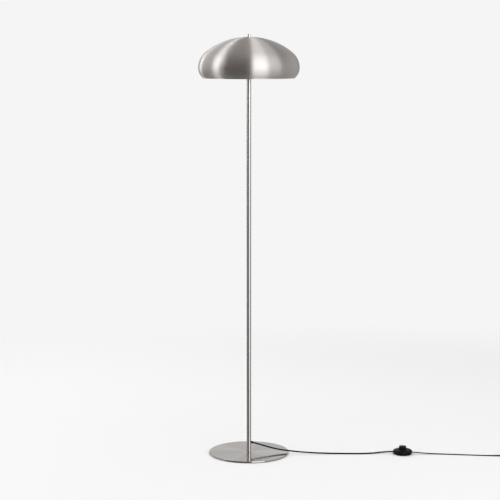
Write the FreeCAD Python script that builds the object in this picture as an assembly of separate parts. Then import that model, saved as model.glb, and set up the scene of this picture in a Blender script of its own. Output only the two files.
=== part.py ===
"""Mushroom floor lamp: spun shade on a slim pole, round base, foot switch in the flex.

Millimetres, +Z up, origin at the centre of the base on the floor, +X towards the flex.
"""
import FreeCAD
import Part

import os
from math import acos, asin, atan2, cos, degrees, pi, radians, sin, sqrt, tan

# ---- driving dimensions ------------------------------------------------------------
FIT_GAP = 0.2            # radial play of a screw or rod in a plain hole
SOFT_GAP = 0.3           # air between a soft piece and its neighbour

# base
BASE_R = 141.0           # steel disc
PLATE_T = 5.0
PLATE_CHAMFER = 0.6
PAD_T = 1.5              # soft pad glued under the disc
PAD_INSET = 3.0          # disc edge to pad edge
RECESS_R = 16.0          # pocket under the disc for washer and bolt head
RECESS_DEPTH = 2.6
WASHER_R = 14.0
WASHER_T = 1.0
BOLT_R = 4.0             # M8 flat-head bolt
BOLT_HEAD_R = 8.5
BOLT_HEAD_T = 2.5
BOLT_KEY_R = 2.5         # inscribed radius of the hexagon key socket
BOLT_KEY_DEPTH = 1.8
BOLT_BITE = 16.0         # thread inside the foot insert

# pole
POLE_R = 8.0
POLE_WALL = 1.2
POLE_SECTION_L = 446.0
POLE_SECTIONS = 3
INSERT_L = 20.0
COUPLER_L = 30.0
PASSAGE_R = 4.5          # way for the flex through couplers and hub

# flex, a flat twin lead: it stands on edge before the switch and lies flat after it
EDGE_R = 2.6             # half its width, the round tube of the lamp side
FLAT_R = 2.15            # round tube of the same section area, the plug side

# where the flex leaves the pole
EXIT_Z = 42.0            # height at which its line meets the pole's axis
EXIT_DROP = 15.0         # degrees below level
BUSH_NECK_R = 4.0
BUSH_R = 4.6
BUSH_END_R = 3.4
BUSH_REACH = 16.0        # pole axis to the bush's outer end
INNER_X = -1.6           # the flex inside the pole, off the axis
INNER_BEND_END = 6.0     # along the exit line, where the inner bend has ended

# hub on top of the pole
HUB_R = 18.0
HUB_WALL = 3.0
HUB_FLOOR_T = 4.0
CHAMBER_H = 18.0
HUB_SPIGOT_L = 14.0
COVER_T = 6.0
COVER_STEP = 2.0
COVER_CHAMFER = 1.5
BOSS_R = 8.5
BOSS_REACH = 20.0        # axis to the boss face where a lampholder seats
BLOCK_L = 18.0           # terminal block
BLOCK_W = 10.0
BLOCK_H = 8.0

# lampholders, measured outward from the boss face
NIPPLE_R = 5.0           # M10 tube thread, also the shade rod
NIPPLE_BORE = 3.5
NIPPLE_IN = 6.0          # length of nipple inside the hub
NIPPLE_OUT = 11.0
HOLDER_R = 20.0
HOLDER_WALL = 2.0
HOLDER_ROUND = 6.0
CAP_L = 22.0
CAP_FLOOR = 4.0
NECK_R = 8.0
SKIRT_L = 35.0
SKIRT_MOUTH_R = 14.6
INSULATOR_T = 8.0
SHELL_R = 13.4           # screw shell, inside radius
SHELL_WALL = 0.5
SHELL_L = 24.0
CONTACT_R = 3.5
CONTACT_T = 2.0

# bulbs
BULB_CAP_R = 13.1
BULB_CAP_L = 26.0
BULB_TIP_R = 4.0
BULB_TIP_L = 1.5
BULB_CONE_L = 3.5
GLOBE_R = 22.5
GLOBE_WALL = 1.2
GLOBE_REACH = 52.0       # bulb cap's front to the globe's far end
GLOBE_NECK_R = 12.6
GLOBE_JOIN = 135.0       # degrees round the globe where the neck runs in

# shade
SHADE_R = 175.0          # widest outside radius
SHADE_WALL = 1.0
SHADE_RISE = 93.0        # hub cover to the underside of the shade's seat
SEAT_R = 14.0            # flat seat round the rod
CROWN_TURN = 28.5        # degrees of slope where crown meets haunch
HAUNCH_R = 208.0
HAUNCH_TURN = 40.8       # degrees of slope where haunch meets cheek
CHEEK_R = 68.0
LIP_R = 45.0
LIP_TURN = 48.0          # degrees drawn in below the widest ring
BEAD_R = 1.6             # rolled edge
SEAT_WASHER_R = 12.0
SEAT_WASHER_T = 1.5
NUT_R = 8.1              # hexagon nut, to its corners
NUT_T = 5.0
TOP_WASHER_R = 8.0
TOP_WASHER_T = 0.8
FINIAL_R = 7.0
FINIAL_H = 9.3
FINIAL_THREAD = 6.0
FINIAL_ROUND = 1.2

# foot switch, in its own frame: centre on the floor, x along the flex
SWITCH_X = 545.0
SWITCH_Y = -12.0
SWITCH_YAW = -6.0
SW_FOOT_R = 31.0
SW_RIM_R = 34.5
SW_SEAM_Z = 7.2          # joint of base and cover, the flex passes in it
SW_LIP = 1.0
SW_SHOULDER = 7.6        # rounding of the cover's shoulder
SW_TOP_Z = 18.0
SW_WALL = 2.0
SW_COLLAR_W = 1.6
SW_COLLAR_Z = 12.0       # collar's lower edge
BUTTON_R = 13.0
BUTTON_GAP = 0.3
BUTTON_TOP_Z = 28.5
BUTTON_WALL = 2.0
BUTTON_ROUND = 2.0
BUTTON_FLANGE_R = 15.5
BUTTON_FLANGE_T = 2.0
BUTTON_TRAVEL = 3.5
STEM_R = 3.5
STEM_END_Z = 6.0
POST_WALL = 1.8
POST_TOP_Z = 9.0
SPRING_WIRE_R = 0.6
SPRING_R = 7.6
SPRING_TURNS = 7
SCREW_RING_R = 25.0
SCREW_COUNT = 3
SCREW_R = 1.5
SCREW_HEAD_R = 3.0
SCREW_HEAD_T = 1.4
SCREW_SINK = 0.3
SCREW_L = 10.0
SCREW_BOSS_R = 3.5
CLAMP_OUT = 28.2         # clamp's outer and inner face from the switch's centre
CLAMP_IN = 25.0
CLAMP_HALF_W = 5.0
CLAMP_TOP_Z = 10.6
TERMINAL_IN = 17.0
TERMINAL_OUT = 23.0
TERMINAL_HALF_W = 4.0
TERMINAL_TOP_Z = 9.0
LEAF_IN = 11.0
LEAF_HALF_W = 2.5
LEAF_T = 0.5
LEAF_GAP = 0.4           # air under the pressed button

# coil that holds the rest of the flex, and its tie
COIL_X = 936.0
COIL_Y = -17.0
COIL_START = -98.7       # degrees round the coil
COIL_R = 35.7            # outer turn, to the flex's line
COIL_PITCH = 4.8         # turn to turn, and layer to layer
LOWER_TURNS = 3.25
UPPER_TURNS = 3.0
TIE_ANGLE = 120.0
TIE_W = 8.0
TIE_T = 0.8
TIE_ROUND = 2.0

# plug: flat two-pin mains plug
PLUG_HEADING = 84.0      # degrees from +X
PLUG_Z = 7.0             # half the plug's thickness, it lies on the floor
RELIEF_L = 25.0
RELIEF_END_R = 3.2
RELIEF_R = 5.2
RELIEF_RIBS = 5
RELIEF_GROOVE = 0.8
PLUG_W = 35.5
PLUG_BACK_W = 15.0
PLUG_L = 36.0
PLUG_TAPER_L = 20.0
PLUG_ROUND = 2.0
PIN_R = 2.0
PIN_L = 19.0
PIN_SPACING = 18.6
SLEEVE_L = 10.0
SLEEVE_WALL = 0.4
SLEEVE_STEP = 0.3        # the sleeve is this much thinner than the pin
TAIL_STEP = 10.0         # each of the three short runs from coil to plug

# ---- levels that follow --------------------------------------------------------------
PLATE_TOP = PAD_T + PLATE_T
POLE_BORE = POLE_R - POLE_WALL
POLE_TOP = PLATE_TOP + POLE_SECTION_L * POLE_SECTIONS
CHAMBER_Z = POLE_TOP + HUB_FLOOR_T
HOLDER_Z = CHAMBER_Z + CHAMBER_H / 2
COVER_Z = CHAMBER_Z + CHAMBER_H
HUB_TOP = COVER_Z + COVER_T
SEAT_UNDER = HUB_TOP + SHADE_RISE
SEAT_Z = SEAT_UNDER + SHADE_WALL
ROD_HOLE_R = NIPPLE_R + FIT_GAP
COIL_LOW_Z = TIE_T + SOFT_GAP + FLAT_R

# ---- routes of the lying flex, chosen points -------------------------------------------
# Between the bush and the foot switch: down over the disc's edge, then along the floor.
LAMP_SIDE_ROUTE = [
    (68.0, -8.0, 24.6), (104.0, -14.5, 17.2), (144.0, -16.5, 12.2), (190.0, -17.0, 7.6),
    (240.0, -16.0, 4.2), (296.0, -16.5, 2.8), (356.0, -18.8, 2.65), (412.0, -18.0, 2.7),
    (440.0, -13.6, 3.1), (472.0, -9.2, 5.4),
]
# Between the foot switch and the coil: off the switch and along the floor.
PLUG_SIDE_ROUTE = [
    (606.0, -17.8, 4.2), (640.0, -18.6, 2.5), (684.0, -21.0, 2.2), (738.0, -28.0, 2.2),
    (795.0, -36.0, 2.2), (852.0, -43.4, 2.25),
]
BUSH_LEAD = 21.0         # straight run of the flex out of the bush
SWITCH_RUN = 19.0        # straight run of the flex through each switch entry
PLUG_ENTRY_RUN = 19.0
COIL_LEAD = 25.0         # straight run that leads into the coil


# ---- helpers -------------------------------------------------------------------------
def vec(x, y, z):
    """A point or direction."""
    return FreeCAD.Vector(x, y, z)


UP = vec(0, 0, 1)
OUT = vec(1, 0, 0)


def unit(v):
    """The same direction, one long."""
    return v * (1.0 / v.Length)


def heading(angle):
    """Level direction at an angle in degrees from +X."""
    return vec(cos(radians(angle)), sin(radians(angle)), 0)


class Outline:
    """A closed outline of radius against height, turned round the Z axis."""

    def __init__(self, r, z):
        self.start = vec(r, 0, z)
        self.here = self.start
        self.edges = []

    def line(self, r, z):
        """Straight to a point."""
        there = vec(r, 0, z)
        self.edges.append(Part.makeLine(self.here, there))
        self.here = there
        return self

    def arc(self, via_r, via_z, r, z):
        """Circular through one point to another."""
        there = vec(r, 0, z)
        self.edges.append(Part.Arc(self.here, vec(via_r, 0, via_z), there).toShape())
        self.here = there
        return self

    def sweep(self, centre, radius, first, last):
        """Circular about a centre, between two angles from the vertical in degrees."""
        def at(angle):
            a = radians(angle)
            return centre[0] + radius * sin(a), centre[1] + radius * cos(a)
        return self.arc(*at((first + last) / 2), *at(last))

    def turned(self):
        """The solid of revolution."""
        self.line(self.start.x, self.start.z)
        face = Part.Face(Part.Wire(self.edges))
        return face.revolve(vec(0, 0, 0), UP, 360)


def rod(radius, low, high):
    """Upright round bar."""
    return Part.makeCylinder(radius, high - low, vec(0, 0, low))


def tube(outer, inner, low, high):
    """Upright tube or washer."""
    return rod(outer, low, high).cut(rod(inner, low, high))


def hexagon(radius, low, high):
    """Upright hexagonal bar, radius to its corners."""
    corners = [heading(60 * k) * radius + UP * low for k in range(7)]
    return Part.Face(Part.makePolygon(corners)).extrude(UP * (high - low))


def block(low, high):
    """Box between two corners."""
    size = [b - a for a, b in zip(low, high)]
    return Part.makeBox(*size, vec(*low))


def laid_out(shape, offset, height):
    """An upright piece laid along +X, its z = 0 at the given distance from the axis."""
    placed = shape.copy()
    placed.rotate(vec(0, 0, 0), vec(0, 1, 0), 90)
    placed.translate(vec(offset, 0, height))
    return placed


def in_switch(shape):
    """A piece of the foot switch, from the switch's own frame to its place."""
    placed = shape.copy()
    placed.rotate(vec(0, 0, 0), UP, SWITCH_YAW)
    placed.translate(vec(SWITCH_X, SWITCH_Y, 0))
    return placed


def switch_point(x, z):
    """A point on the switch's own x axis, in the lamp's frame."""
    return vec(SWITCH_X, SWITCH_Y, z) + heading(SWITCH_YAW) * x


def arc_by_tangents(start, corner, end):
    """Arc from start to end whose tangents meet at the corner, as far from both."""
    middle = (start + end) * 0.5
    rise = corner - middle
    half = (end - start).Length / 2
    lean = atan2(rise.Length, half)
    via = middle + unit(rise) * (half * tan(lean / 2))
    return Part.Arc(start, via, end).toShape()


def round_tube(edges, radius):
    """Round tube along joined edges, its first end square to the first edge."""
    path = Part.Wire(edges)
    first = edges[0]
    start = first.valueAt(first.FirstParameter)
    along = first.tangentAt(first.FirstParameter)
    ring = Part.Wire([Part.Circle(start, along, radius).toShape()])
    return path.makePipeShell([ring], True, False)


def report_tube(name, solid, edges, radius):
    """Print a tube's length and how its volume compares with section times length."""
    length = sum(edge.Length for edge in edges)
    ratio = solid.Volume / (pi * radius * radius * length)
    print(f"{name}: length {length:.1f} mm, volume ratio {ratio:.4f}")


def lying_tube(name, points, radius):
    """Tube along straight runs joined by tangent arcs as large as the runs allow."""
    edges = []
    here = points[0]
    arcs = []
    for before, corner, after in zip(points, points[1:], points[2:]):
        back = unit(before - corner)
        ahead = unit(after - corner)
        leg = 0.45 * min((before - corner).Length, (after - corner).Length)
        turn = pi - back.getAngle(ahead)
        arcs.append(leg / tan(turn / 2))
        start = corner + back * leg
        edges.append(Part.makeLine(here, start))
        here = corner + ahead * leg
        edges.append(arc_by_tangents(start, corner, here))
    edges.append(Part.makeLine(here, points[-1]))
    solid = round_tube(edges, radius)
    report_tube(name, solid, edges, radius)
    print(f"  arc radii: {', '.join(f'{r:.0f}' for r in arcs)}")
    return solid


def biarc(start, along, end, onward):
    """Two arcs that join two points with given directions, each tangent to the next."""
    span = end - start
    spread = 2 * (1 - along.dot(onward))
    lead = span.dot(along + onward)
    if spread < 1e-9:
        leg = span.dot(span) / (2 * lead)
    else:
        leg = (sqrt(lead * lead + spread * span.dot(span)) - lead) / spread
    first = start + along * leg
    second = end - onward * leg
    middle = (first + second) * 0.5
    return [arc_by_tangents(start, first, middle), arc_by_tangents(middle, second, end)]


def wound_tube(stations, radius, straight):
    """Tube through (point, direction) stations, with a straight length at each end."""
    first, along = stations[0]
    last, onward = stations[-1]
    edges = []
    if straight:
        edges.append(Part.makeLine(first - along * straight, first))
    for (a, da), (b, db) in zip(stations, stations[1:]):
        edges += biarc(a, da, b, db)
    if straight:
        edges.append(Part.makeLine(last, last + onward * straight))
    return round_tube(edges, radius), edges


# ---- base ----------------------------------------------------------------------------
def base_pieces():
    """Steel disc, pad, and the bolt with its washer in the pocket underneath."""
    edge = BASE_R - PLATE_CHAMFER
    hole = BOLT_R + FIT_GAP
    ceiling = PAD_T + RECESS_DEPTH
    plate = (Outline(hole, ceiling)
             .line(RECESS_R, ceiling)
             .line(RECESS_R, PAD_T)
             .line(edge, PAD_T)
             .line(BASE_R, PAD_T + PLATE_CHAMFER)
             .line(BASE_R, PLATE_TOP - PLATE_CHAMFER)
             .line(edge, PLATE_TOP)
             .line(hole, PLATE_TOP)
             .turned())
    pad = tube(BASE_R - PAD_INSET, RECESS_R + SOFT_GAP, 0, PAD_T)
    washer_z = ceiling - WASHER_T
    head_z = washer_z - BOLT_HEAD_T
    bolt = rod(BOLT_HEAD_R, head_z, washer_z)
    bolt = bolt.fuse(rod(BOLT_R, washer_z, PLATE_TOP + BOLT_BITE))
    key = hexagon(BOLT_KEY_R / cos(pi / 6), head_z, head_z + BOLT_KEY_DEPTH)
    return {
        "base_plate": plate,
        "base_pad": pad,
        "base_washer": tube(WASHER_R, hole, washer_z, ceiling),
        "base_bolt": bolt.cut(key).removeSplitter(),
    }


# ---- pole ----------------------------------------------------------------------------
EXIT_LINE = vec(cos(radians(EXIT_DROP)), 0, -sin(radians(EXIT_DROP)))
EXIT_ROOT = vec(0, 0, EXIT_Z)
EXIT_POINT = EXIT_ROOT + EXIT_LINE * BUSH_REACH


def along_exit(radius, start, end, end_radius=None):
    """Round bar or cone on the exit line, between two distances from the pole's axis."""
    foot = EXIT_ROOT + EXIT_LINE * start
    if end_radius is None:
        return Part.makeCylinder(radius, end - start, foot, EXIT_LINE)
    return Part.makeCone(radius, end_radius, end - start, foot, EXIT_LINE)


def pole_pieces():
    """Three tubes, the couplers inside their joints, the foot insert and the bush."""
    names = ["pole_lower", "pole_middle", "pole_upper"]
    pieces = {}
    for k, name in enumerate(names):
        low = PLATE_TOP + k * POLE_SECTION_L
        pieces[name] = tube(POLE_R, POLE_BORE, low, low + POLE_SECTION_L)
        if k:
            coupler = tube(POLE_BORE, PASSAGE_R, low - COUPLER_L / 2, low + COUPLER_L / 2)
            pieces[f"pole_coupler_{k}"] = coupler
    hole = along_exit(BUSH_NECK_R, 0, BUSH_REACH)
    pieces["pole_lower"] = pieces["pole_lower"].cut(hole)
    pieces["pole_foot_insert"] = tube(POLE_BORE, BOLT_R, PLATE_TOP, PLATE_TOP + INSERT_L)
    collar = along_exit(BUSH_R, 0, BUSH_REACH, BUSH_END_R)
    collar = collar.cut(rod(POLE_R, 0, EXIT_Z * 2))
    neck_start = POLE_BORE / cos(radians(EXIT_DROP))
    neck = along_exit(BUSH_NECK_R, neck_start, BUSH_REACH / 2 + POLE_WALL)
    bush = collar.fuse(neck).cut(along_exit(EDGE_R, 0, BUSH_REACH))
    pieces["cord_bush"] = bush.removeSplitter()
    return pieces


def inner_flex():
    """Flex inside the pole, from the hub's chamber down to the bush's outer end."""
    top = vec(INNER_X, 0, CHAMBER_Z)
    root = INNER_X / EXIT_LINE.x
    corner = EXIT_ROOT + EXIT_LINE * root
    leg = INNER_BEND_END - root
    start = corner + UP * leg
    end = corner + EXIT_LINE * leg
    edges = [
        Part.makeLine(top, start),
        arc_by_tangents(start, corner, end),
        Part.makeLine(end, EXIT_POINT),
    ]
    turn = pi / 2 - radians(EXIT_DROP)
    print(f"flex_in_pole: bend radius {leg / tan(turn / 2):.1f} mm")
    return {"flex_in_pole": round_tube(edges, EDGE_R)}


# ---- hub and lampholders -------------------------------------------------------------
def hub_pieces():
    """Cup on the pole's top with two side bosses, its cover and the terminal block."""
    cup = rod(HUB_R, POLE_TOP, COVER_Z)
    cup = cup.fuse(rod(POLE_BORE, POLE_TOP - HUB_SPIGOT_L, POLE_TOP))
    chamber = rod(HUB_R - HUB_WALL, CHAMBER_Z, COVER_Z)
    for way in (OUT, -OUT):
        foot = way * (HUB_R - HUB_WALL) + UP * HOLDER_Z
        length = BOSS_REACH - HUB_R + HUB_WALL
        cup = cup.fuse(Part.makeCylinder(BOSS_R, length, foot, way))
    cup = cup.cut(chamber).cut(rod(PASSAGE_R, POLE_TOP - HUB_SPIGOT_L, CHAMBER_Z))
    for way in (OUT, -OUT):
        cup = cup.cut(Part.makeCylinder(NIPPLE_R, BOSS_REACH, UP * HOLDER_Z, way))
    step_r = HUB_R - HUB_WALL - FIT_GAP
    cover = (Outline(NIPPLE_R, COVER_Z - COVER_STEP)
             .line(step_r, COVER_Z - COVER_STEP)
             .line(step_r, COVER_Z)
             .line(HUB_R, COVER_Z)
             .line(HUB_R, HUB_TOP - COVER_CHAMFER)
             .line(HUB_R - COVER_CHAMFER, HUB_TOP)
             .line(NIPPLE_R, HUB_TOP)
             .turned())
    terminals = block((-BLOCK_L / 2, -BLOCK_W / 2, CHAMBER_Z),
                      (BLOCK_L / 2, BLOCK_W / 2, CHAMBER_Z + BLOCK_H))
    return {
        "hub_body": cup.removeSplitter(),
        "hub_cover": cover,
        "hub_terminal_block": terminals,
    }


def lampholder_pieces():
    """One lampholder with its bulb, upright, z = 0 at the hub's boss face."""
    skirt_end = CAP_L + SKIRT_L
    bore = HOLDER_R - HOLDER_WALL
    diagonal = HOLDER_ROUND * (1 - sqrt(0.5))
    cap = (Outline(NIPPLE_R, 0)
           .line(HOLDER_R - HOLDER_ROUND, 0)
           .arc(HOLDER_R - diagonal, diagonal, HOLDER_R, HOLDER_ROUND)
           .line(HOLDER_R, CAP_L)
           .line(bore, CAP_L)
           .line(bore, HOLDER_ROUND)
           .line(HOLDER_R - HOLDER_ROUND, CAP_FLOOR)
           .line(NECK_R, CAP_FLOOR)
           .line(NECK_R, NIPPLE_OUT)
           .line(NIPPLE_R, NIPPLE_OUT)
           .turned())
    skirt = (Outline(bore, CAP_L)
             .line(HOLDER_R, CAP_L)
             .line(HOLDER_R, skirt_end - HOLDER_WALL)
             .line(HOLDER_R - HOLDER_WALL / 2, skirt_end)
             .line(SKIRT_MOUTH_R, skirt_end)
             .line(SKIRT_MOUTH_R, skirt_end - HOLDER_WALL)
             .line(bore, skirt_end - HOLDER_WALL)
             .turned())
    floor = CAP_L + INSULATOR_T
    tip = floor + CONTACT_T
    cone = tip + BULB_TIP_L
    thread = cone + BULB_CONE_L
    front = tip + BULB_CAP_L
    bulb_cap = (Outline(0, tip)
                .line(BULB_TIP_R, tip)
                .line(BULB_TIP_R, cone)
                .line(BULB_CAP_R, thread)
                .line(BULB_CAP_R, front)
                .line(0, front)
                .turned())
    centre = front + GLOBE_REACH - GLOBE_R
    join = radians(180 - GLOBE_JOIN)

    def wall(radius, neck):
        """Join point, neck point and mid-neck point of one face of the glass."""
        joined = (radius * sin(join), centre - radius * cos(join))
        middle = (neck + 0.3 * (joined[0] - neck), (front + joined[1]) / 2)
        return joined, middle

    outer_join, outer_neck = wall(GLOBE_R, GLOBE_NECK_R)
    inner_r = GLOBE_R - GLOBE_WALL
    inner_join, inner_neck = wall(inner_r, GLOBE_NECK_R - GLOBE_WALL)
    globe = (Outline(GLOBE_NECK_R, front)
             .arc(*outer_neck, *outer_join)
             .arc(GLOBE_R, centre, 0, centre + GLOBE_R)
             .line(0, centre + inner_r)
             .arc(inner_r, centre, *inner_join)
             .arc(*inner_neck, GLOBE_NECK_R - GLOBE_WALL, front)
             .turned())
    return {
        "lampholder_nipple": tube(NIPPLE_R, NIPPLE_BORE, -NIPPLE_IN, NIPPLE_OUT),
        "lampholder_cap": cap,
        "lampholder_skirt": skirt,
        "lampholder_insulator": rod(bore, CAP_L, floor),
        "lampholder_screw_shell": tube(SHELL_R + SHELL_WALL, SHELL_R, floor, floor + SHELL_L),
        "lampholder_contact": rod(CONTACT_R, floor, tip),
        "bulb_cap": bulb_cap,
        "bulb_globe": globe,
    }


def lamp_cluster():
    """Both lampholders with their bulbs, one to each side of the hub."""
    pieces = {}
    for side, turn in (("right", 0), ("left", 180)):
        for name, shape in lampholder_pieces().items():
            placed = laid_out(shape, BOSS_REACH, HOLDER_Z)
            placed.rotate(vec(0, 0, 0), UP, turn)
            pieces[f"{name}_{side}"] = placed
    return pieces


# ---- shade ---------------------------------------------------------------------------
def shade():
    """Spun dome: seat, crown, haunch, cheek and drawn-in lip as arcs that run on."""
    slopes = [sin(radians(a)) for a in (CROWN_TURN, HAUNCH_TURN)]
    reach = HAUNCH_R * (slopes[1] - slopes[0]) + CHEEK_R * (1 - slopes[1])
    crown_r = (SHADE_R - reach) / slopes[0]
    seat_turn = degrees(asin(SEAT_R / crown_r))
    crown = (0, SEAT_Z - crown_r * cos(radians(seat_turn)))
    haunch = shifted(crown, crown_r - HAUNCH_R, CROWN_TURN)
    cheek = shifted(haunch, HAUNCH_R - CHEEK_R, HAUNCH_TURN)
    lip = (SHADE_R - LIP_R, cheek[1])
    end = 90 + LIP_TURN
    drop = SHADE_WALL
    inner_seat = degrees(acos((crown_r * cos(radians(seat_turn)) - drop) / (crown_r - drop)))

    edge = shifted(lip, LIP_R - drop / 2, end)
    run_on = (cos(radians(end)), -sin(radians(end)))
    set_back = sqrt(BEAD_R ** 2 - (drop / 2) ** 2)
    bead = (edge[0] + run_on[0] * (set_back + BEAD_R), edge[1] + run_on[1] * (set_back + BEAD_R))
    inner_end = shifted(lip, LIP_R - drop, end)
    print(f"shade: crown radius {crown_r:.1f}, widest at z {cheek[1]:.1f}, rim near z {bead[1]:.1f}")
    outline = (Outline(ROD_HOLE_R, SEAT_Z)
               .line(SEAT_R, SEAT_Z)
               .sweep(crown, crown_r, seat_turn, CROWN_TURN)
               .sweep(haunch, HAUNCH_R, CROWN_TURN, HAUNCH_TURN)
               .sweep(cheek, CHEEK_R, HAUNCH_TURN, 90)
               .sweep(lip, LIP_R, 90, end)
               .arc(*bead, *inner_end)
               .sweep(lip, LIP_R - drop, end, 90)
               .sweep(cheek, CHEEK_R - drop, 90, HAUNCH_TURN)
               .sweep(haunch, HAUNCH_R - drop, HAUNCH_TURN, CROWN_TURN)
               .sweep(crown, crown_r - drop, CROWN_TURN, inner_seat)
               .line(ROD_HOLE_R, SEAT_UNDER))
    return outline.turned()


def shifted(centre, distance, angle):
    """A point at a distance from a centre, at an angle from the vertical in degrees."""
    a = radians(angle)
    return centre[0] + distance * sin(a), centre[1] + distance * cos(a)


def shade_pieces():
    """The shade and what clamps it on its rod: nut and washer below, finial above."""
    washer_z = SEAT_UNDER - SEAT_WASHER_T
    nut_z = washer_z - NUT_T
    finial_z = SEAT_Z + TOP_WASHER_T
    rod_end = finial_z + FINIAL_THREAD
    top = finial_z + FINIAL_H
    diagonal = FINIAL_ROUND * (1 - sqrt(0.5))
    finial = (Outline(NIPPLE_R, finial_z)
              .line(FINIAL_R, finial_z)
              .line(FINIAL_R, top - FINIAL_ROUND)
              .arc(FINIAL_R - diagonal, top - diagonal, FINIAL_R - FINIAL_ROUND, top)
              .line(0, top)
              .line(0, rod_end)
              .line(NIPPLE_R, rod_end)
              .turned())
    return {
        "shade": shade(),
        "shade_rod": tube(NIPPLE_R, NIPPLE_BORE, COVER_Z - COVER_STEP, rod_end),
        "shade_nut": hexagon(NUT_R, nut_z, washer_z).cut(rod(NIPPLE_R, nut_z, washer_z)),
        "shade_washer_lower": tube(SEAT_WASHER_R, ROD_HOLE_R, washer_z, SEAT_UNDER),
        "shade_washer_upper": tube(TOP_WASHER_R, ROD_HOLE_R, SEAT_Z, finial_z),
        "finial": finial,
    }


# ---- foot switch ---------------------------------------------------------------------
def entry_holes():
    """The two ways in for the flex, in the seam of base and cover."""
    level = UP * SW_SEAM_Z
    lamp_side = Part.makeCylinder(EDGE_R, SW_RIM_R + SW_LIP, level, -OUT)
    plug_side = Part.makeCylinder(FLAT_R, SW_RIM_R + SW_LIP, level, OUT)
    return lamp_side.fuse(plug_side)


def screw_places():
    """Centres of the screws, clear of the two entries."""
    return [heading(90 + 360 * k / SCREW_COUNT) * SCREW_RING_R for k in range(SCREW_COUNT)]


def switch_base():
    """Flared dish with the post that guides the button's stem."""
    post_r = STEM_R + BUTTON_GAP
    dish = (Outline(0, 0)
            .line(SW_FOOT_R, 0)
            .line(SW_RIM_R, SW_SEAM_Z)
            .line(SW_RIM_R - SW_WALL, SW_SEAM_Z)
            .line(SW_FOOT_R - SW_WALL, SW_WALL)
            .line(0, SW_WALL)
            .turned())
    dish = dish.fuse(tube(post_r + POST_WALL, post_r, SW_WALL, POST_TOP_Z)).cut(entry_holes())
    for place in screw_places():
        shank = rod(SCREW_R + FIT_GAP, 0, SW_WALL)
        pocket = rod(SCREW_HEAD_R + FIT_GAP, 0, SCREW_SINK + SCREW_HEAD_T)
        hole = shank.fuse(pocket)
        hole.translate(place)
        dish = dish.cut(hole)
    return dish.removeSplitter()


def switch_cover():
    """Domed cover: rounded shoulder, sloping crown, collar round the button."""
    hole = BUTTON_R + BUTTON_GAP
    collar = hole + SW_COLLAR_W
    base_z = SW_SEAM_Z + SW_LIP
    centre = (SW_RIM_R - SW_SHOULDER, base_z)
    slope = (SW_TOP_Z - base_z - SW_SHOULDER) / (centre[0] - collar)
    ceiling = base_z + SW_SHOULDER - SW_WALL
    inner_rise = ceiling + slope * (centre[0] - collar)
    shell = (Outline(SW_RIM_R - SW_WALL, SW_SEAM_Z)
             .line(SW_RIM_R, SW_SEAM_Z)
             .line(SW_RIM_R, base_z)
             .sweep(centre, SW_SHOULDER, 90, 0)
             .line(collar, SW_TOP_Z)
             .line(hole, SW_TOP_Z)
             .line(hole, SW_COLLAR_Z)
             .line(collar, SW_COLLAR_Z)
             .line(collar, inner_rise)
             .line(centre[0], ceiling)
             .sweep(centre, SW_SHOULDER - SW_WALL, 0, 90)
             .turned())
    boss_top = ceiling + SW_WALL / 2
    for place in screw_places():
        boss = rod(SCREW_BOSS_R, SW_WALL, boss_top)
        boss.translate(place)
        shell = shell.fuse(boss)
    for place in screw_places():
        hole = rod(SCREW_R, 0, SCREW_SINK + SCREW_HEAD_T + SCREW_L)
        hole.translate(place)
        shell = shell.cut(hole)
    return shell.cut(entry_holes()).removeSplitter()


def switch_button():
    """Round cap with a retaining flange below the collar and a guided stem."""
    inner = BUTTON_R - BUTTON_WALL
    flange_top = SW_COLLAR_Z - BUTTON_GAP
    flange_low = flange_top - BUTTON_FLANGE_T
    ceiling = BUTTON_TOP_Z - BUTTON_WALL
    diagonal = BUTTON_ROUND * (1 - sqrt(0.5))
    return (Outline(0, STEM_END_Z)
            .line(STEM_R, STEM_END_Z)
            .line(STEM_R, ceiling)
            .line(inner, ceiling)
            .line(inner, flange_low)
            .line(BUTTON_FLANGE_R, flange_low)
            .line(BUTTON_FLANGE_R, flange_top)
            .line(BUTTON_R, flange_top)
            .line(BUTTON_R, BUTTON_TOP_Z - BUTTON_ROUND)
            .arc(BUTTON_R - diagonal, BUTTON_TOP_Z - diagonal,
                 BUTTON_R - BUTTON_ROUND, BUTTON_TOP_Z)
            .line(0, BUTTON_TOP_Z)
            .turned())


def switch_spring():
    """Compression spring from the dish's floor to the underside of the button."""
    low = SW_WALL + SPRING_WIRE_R
    high = BUTTON_TOP_Z - BUTTON_WALL - SPRING_WIRE_R
    rise = (high - low) / SPRING_TURNS
    stations = []
    for k in range(4 * SPRING_TURNS + 1):
        angle = 90 * k
        point = heading(angle) * SPRING_R + UP * (low + rise * k / 4)
        stations.append((point, unit(heading(angle + 90) * (2 * pi * SPRING_R) + UP * rise)))
    solid, _ = wound_tube(stations, SPRING_WIRE_R, 0)
    return solid


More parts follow.
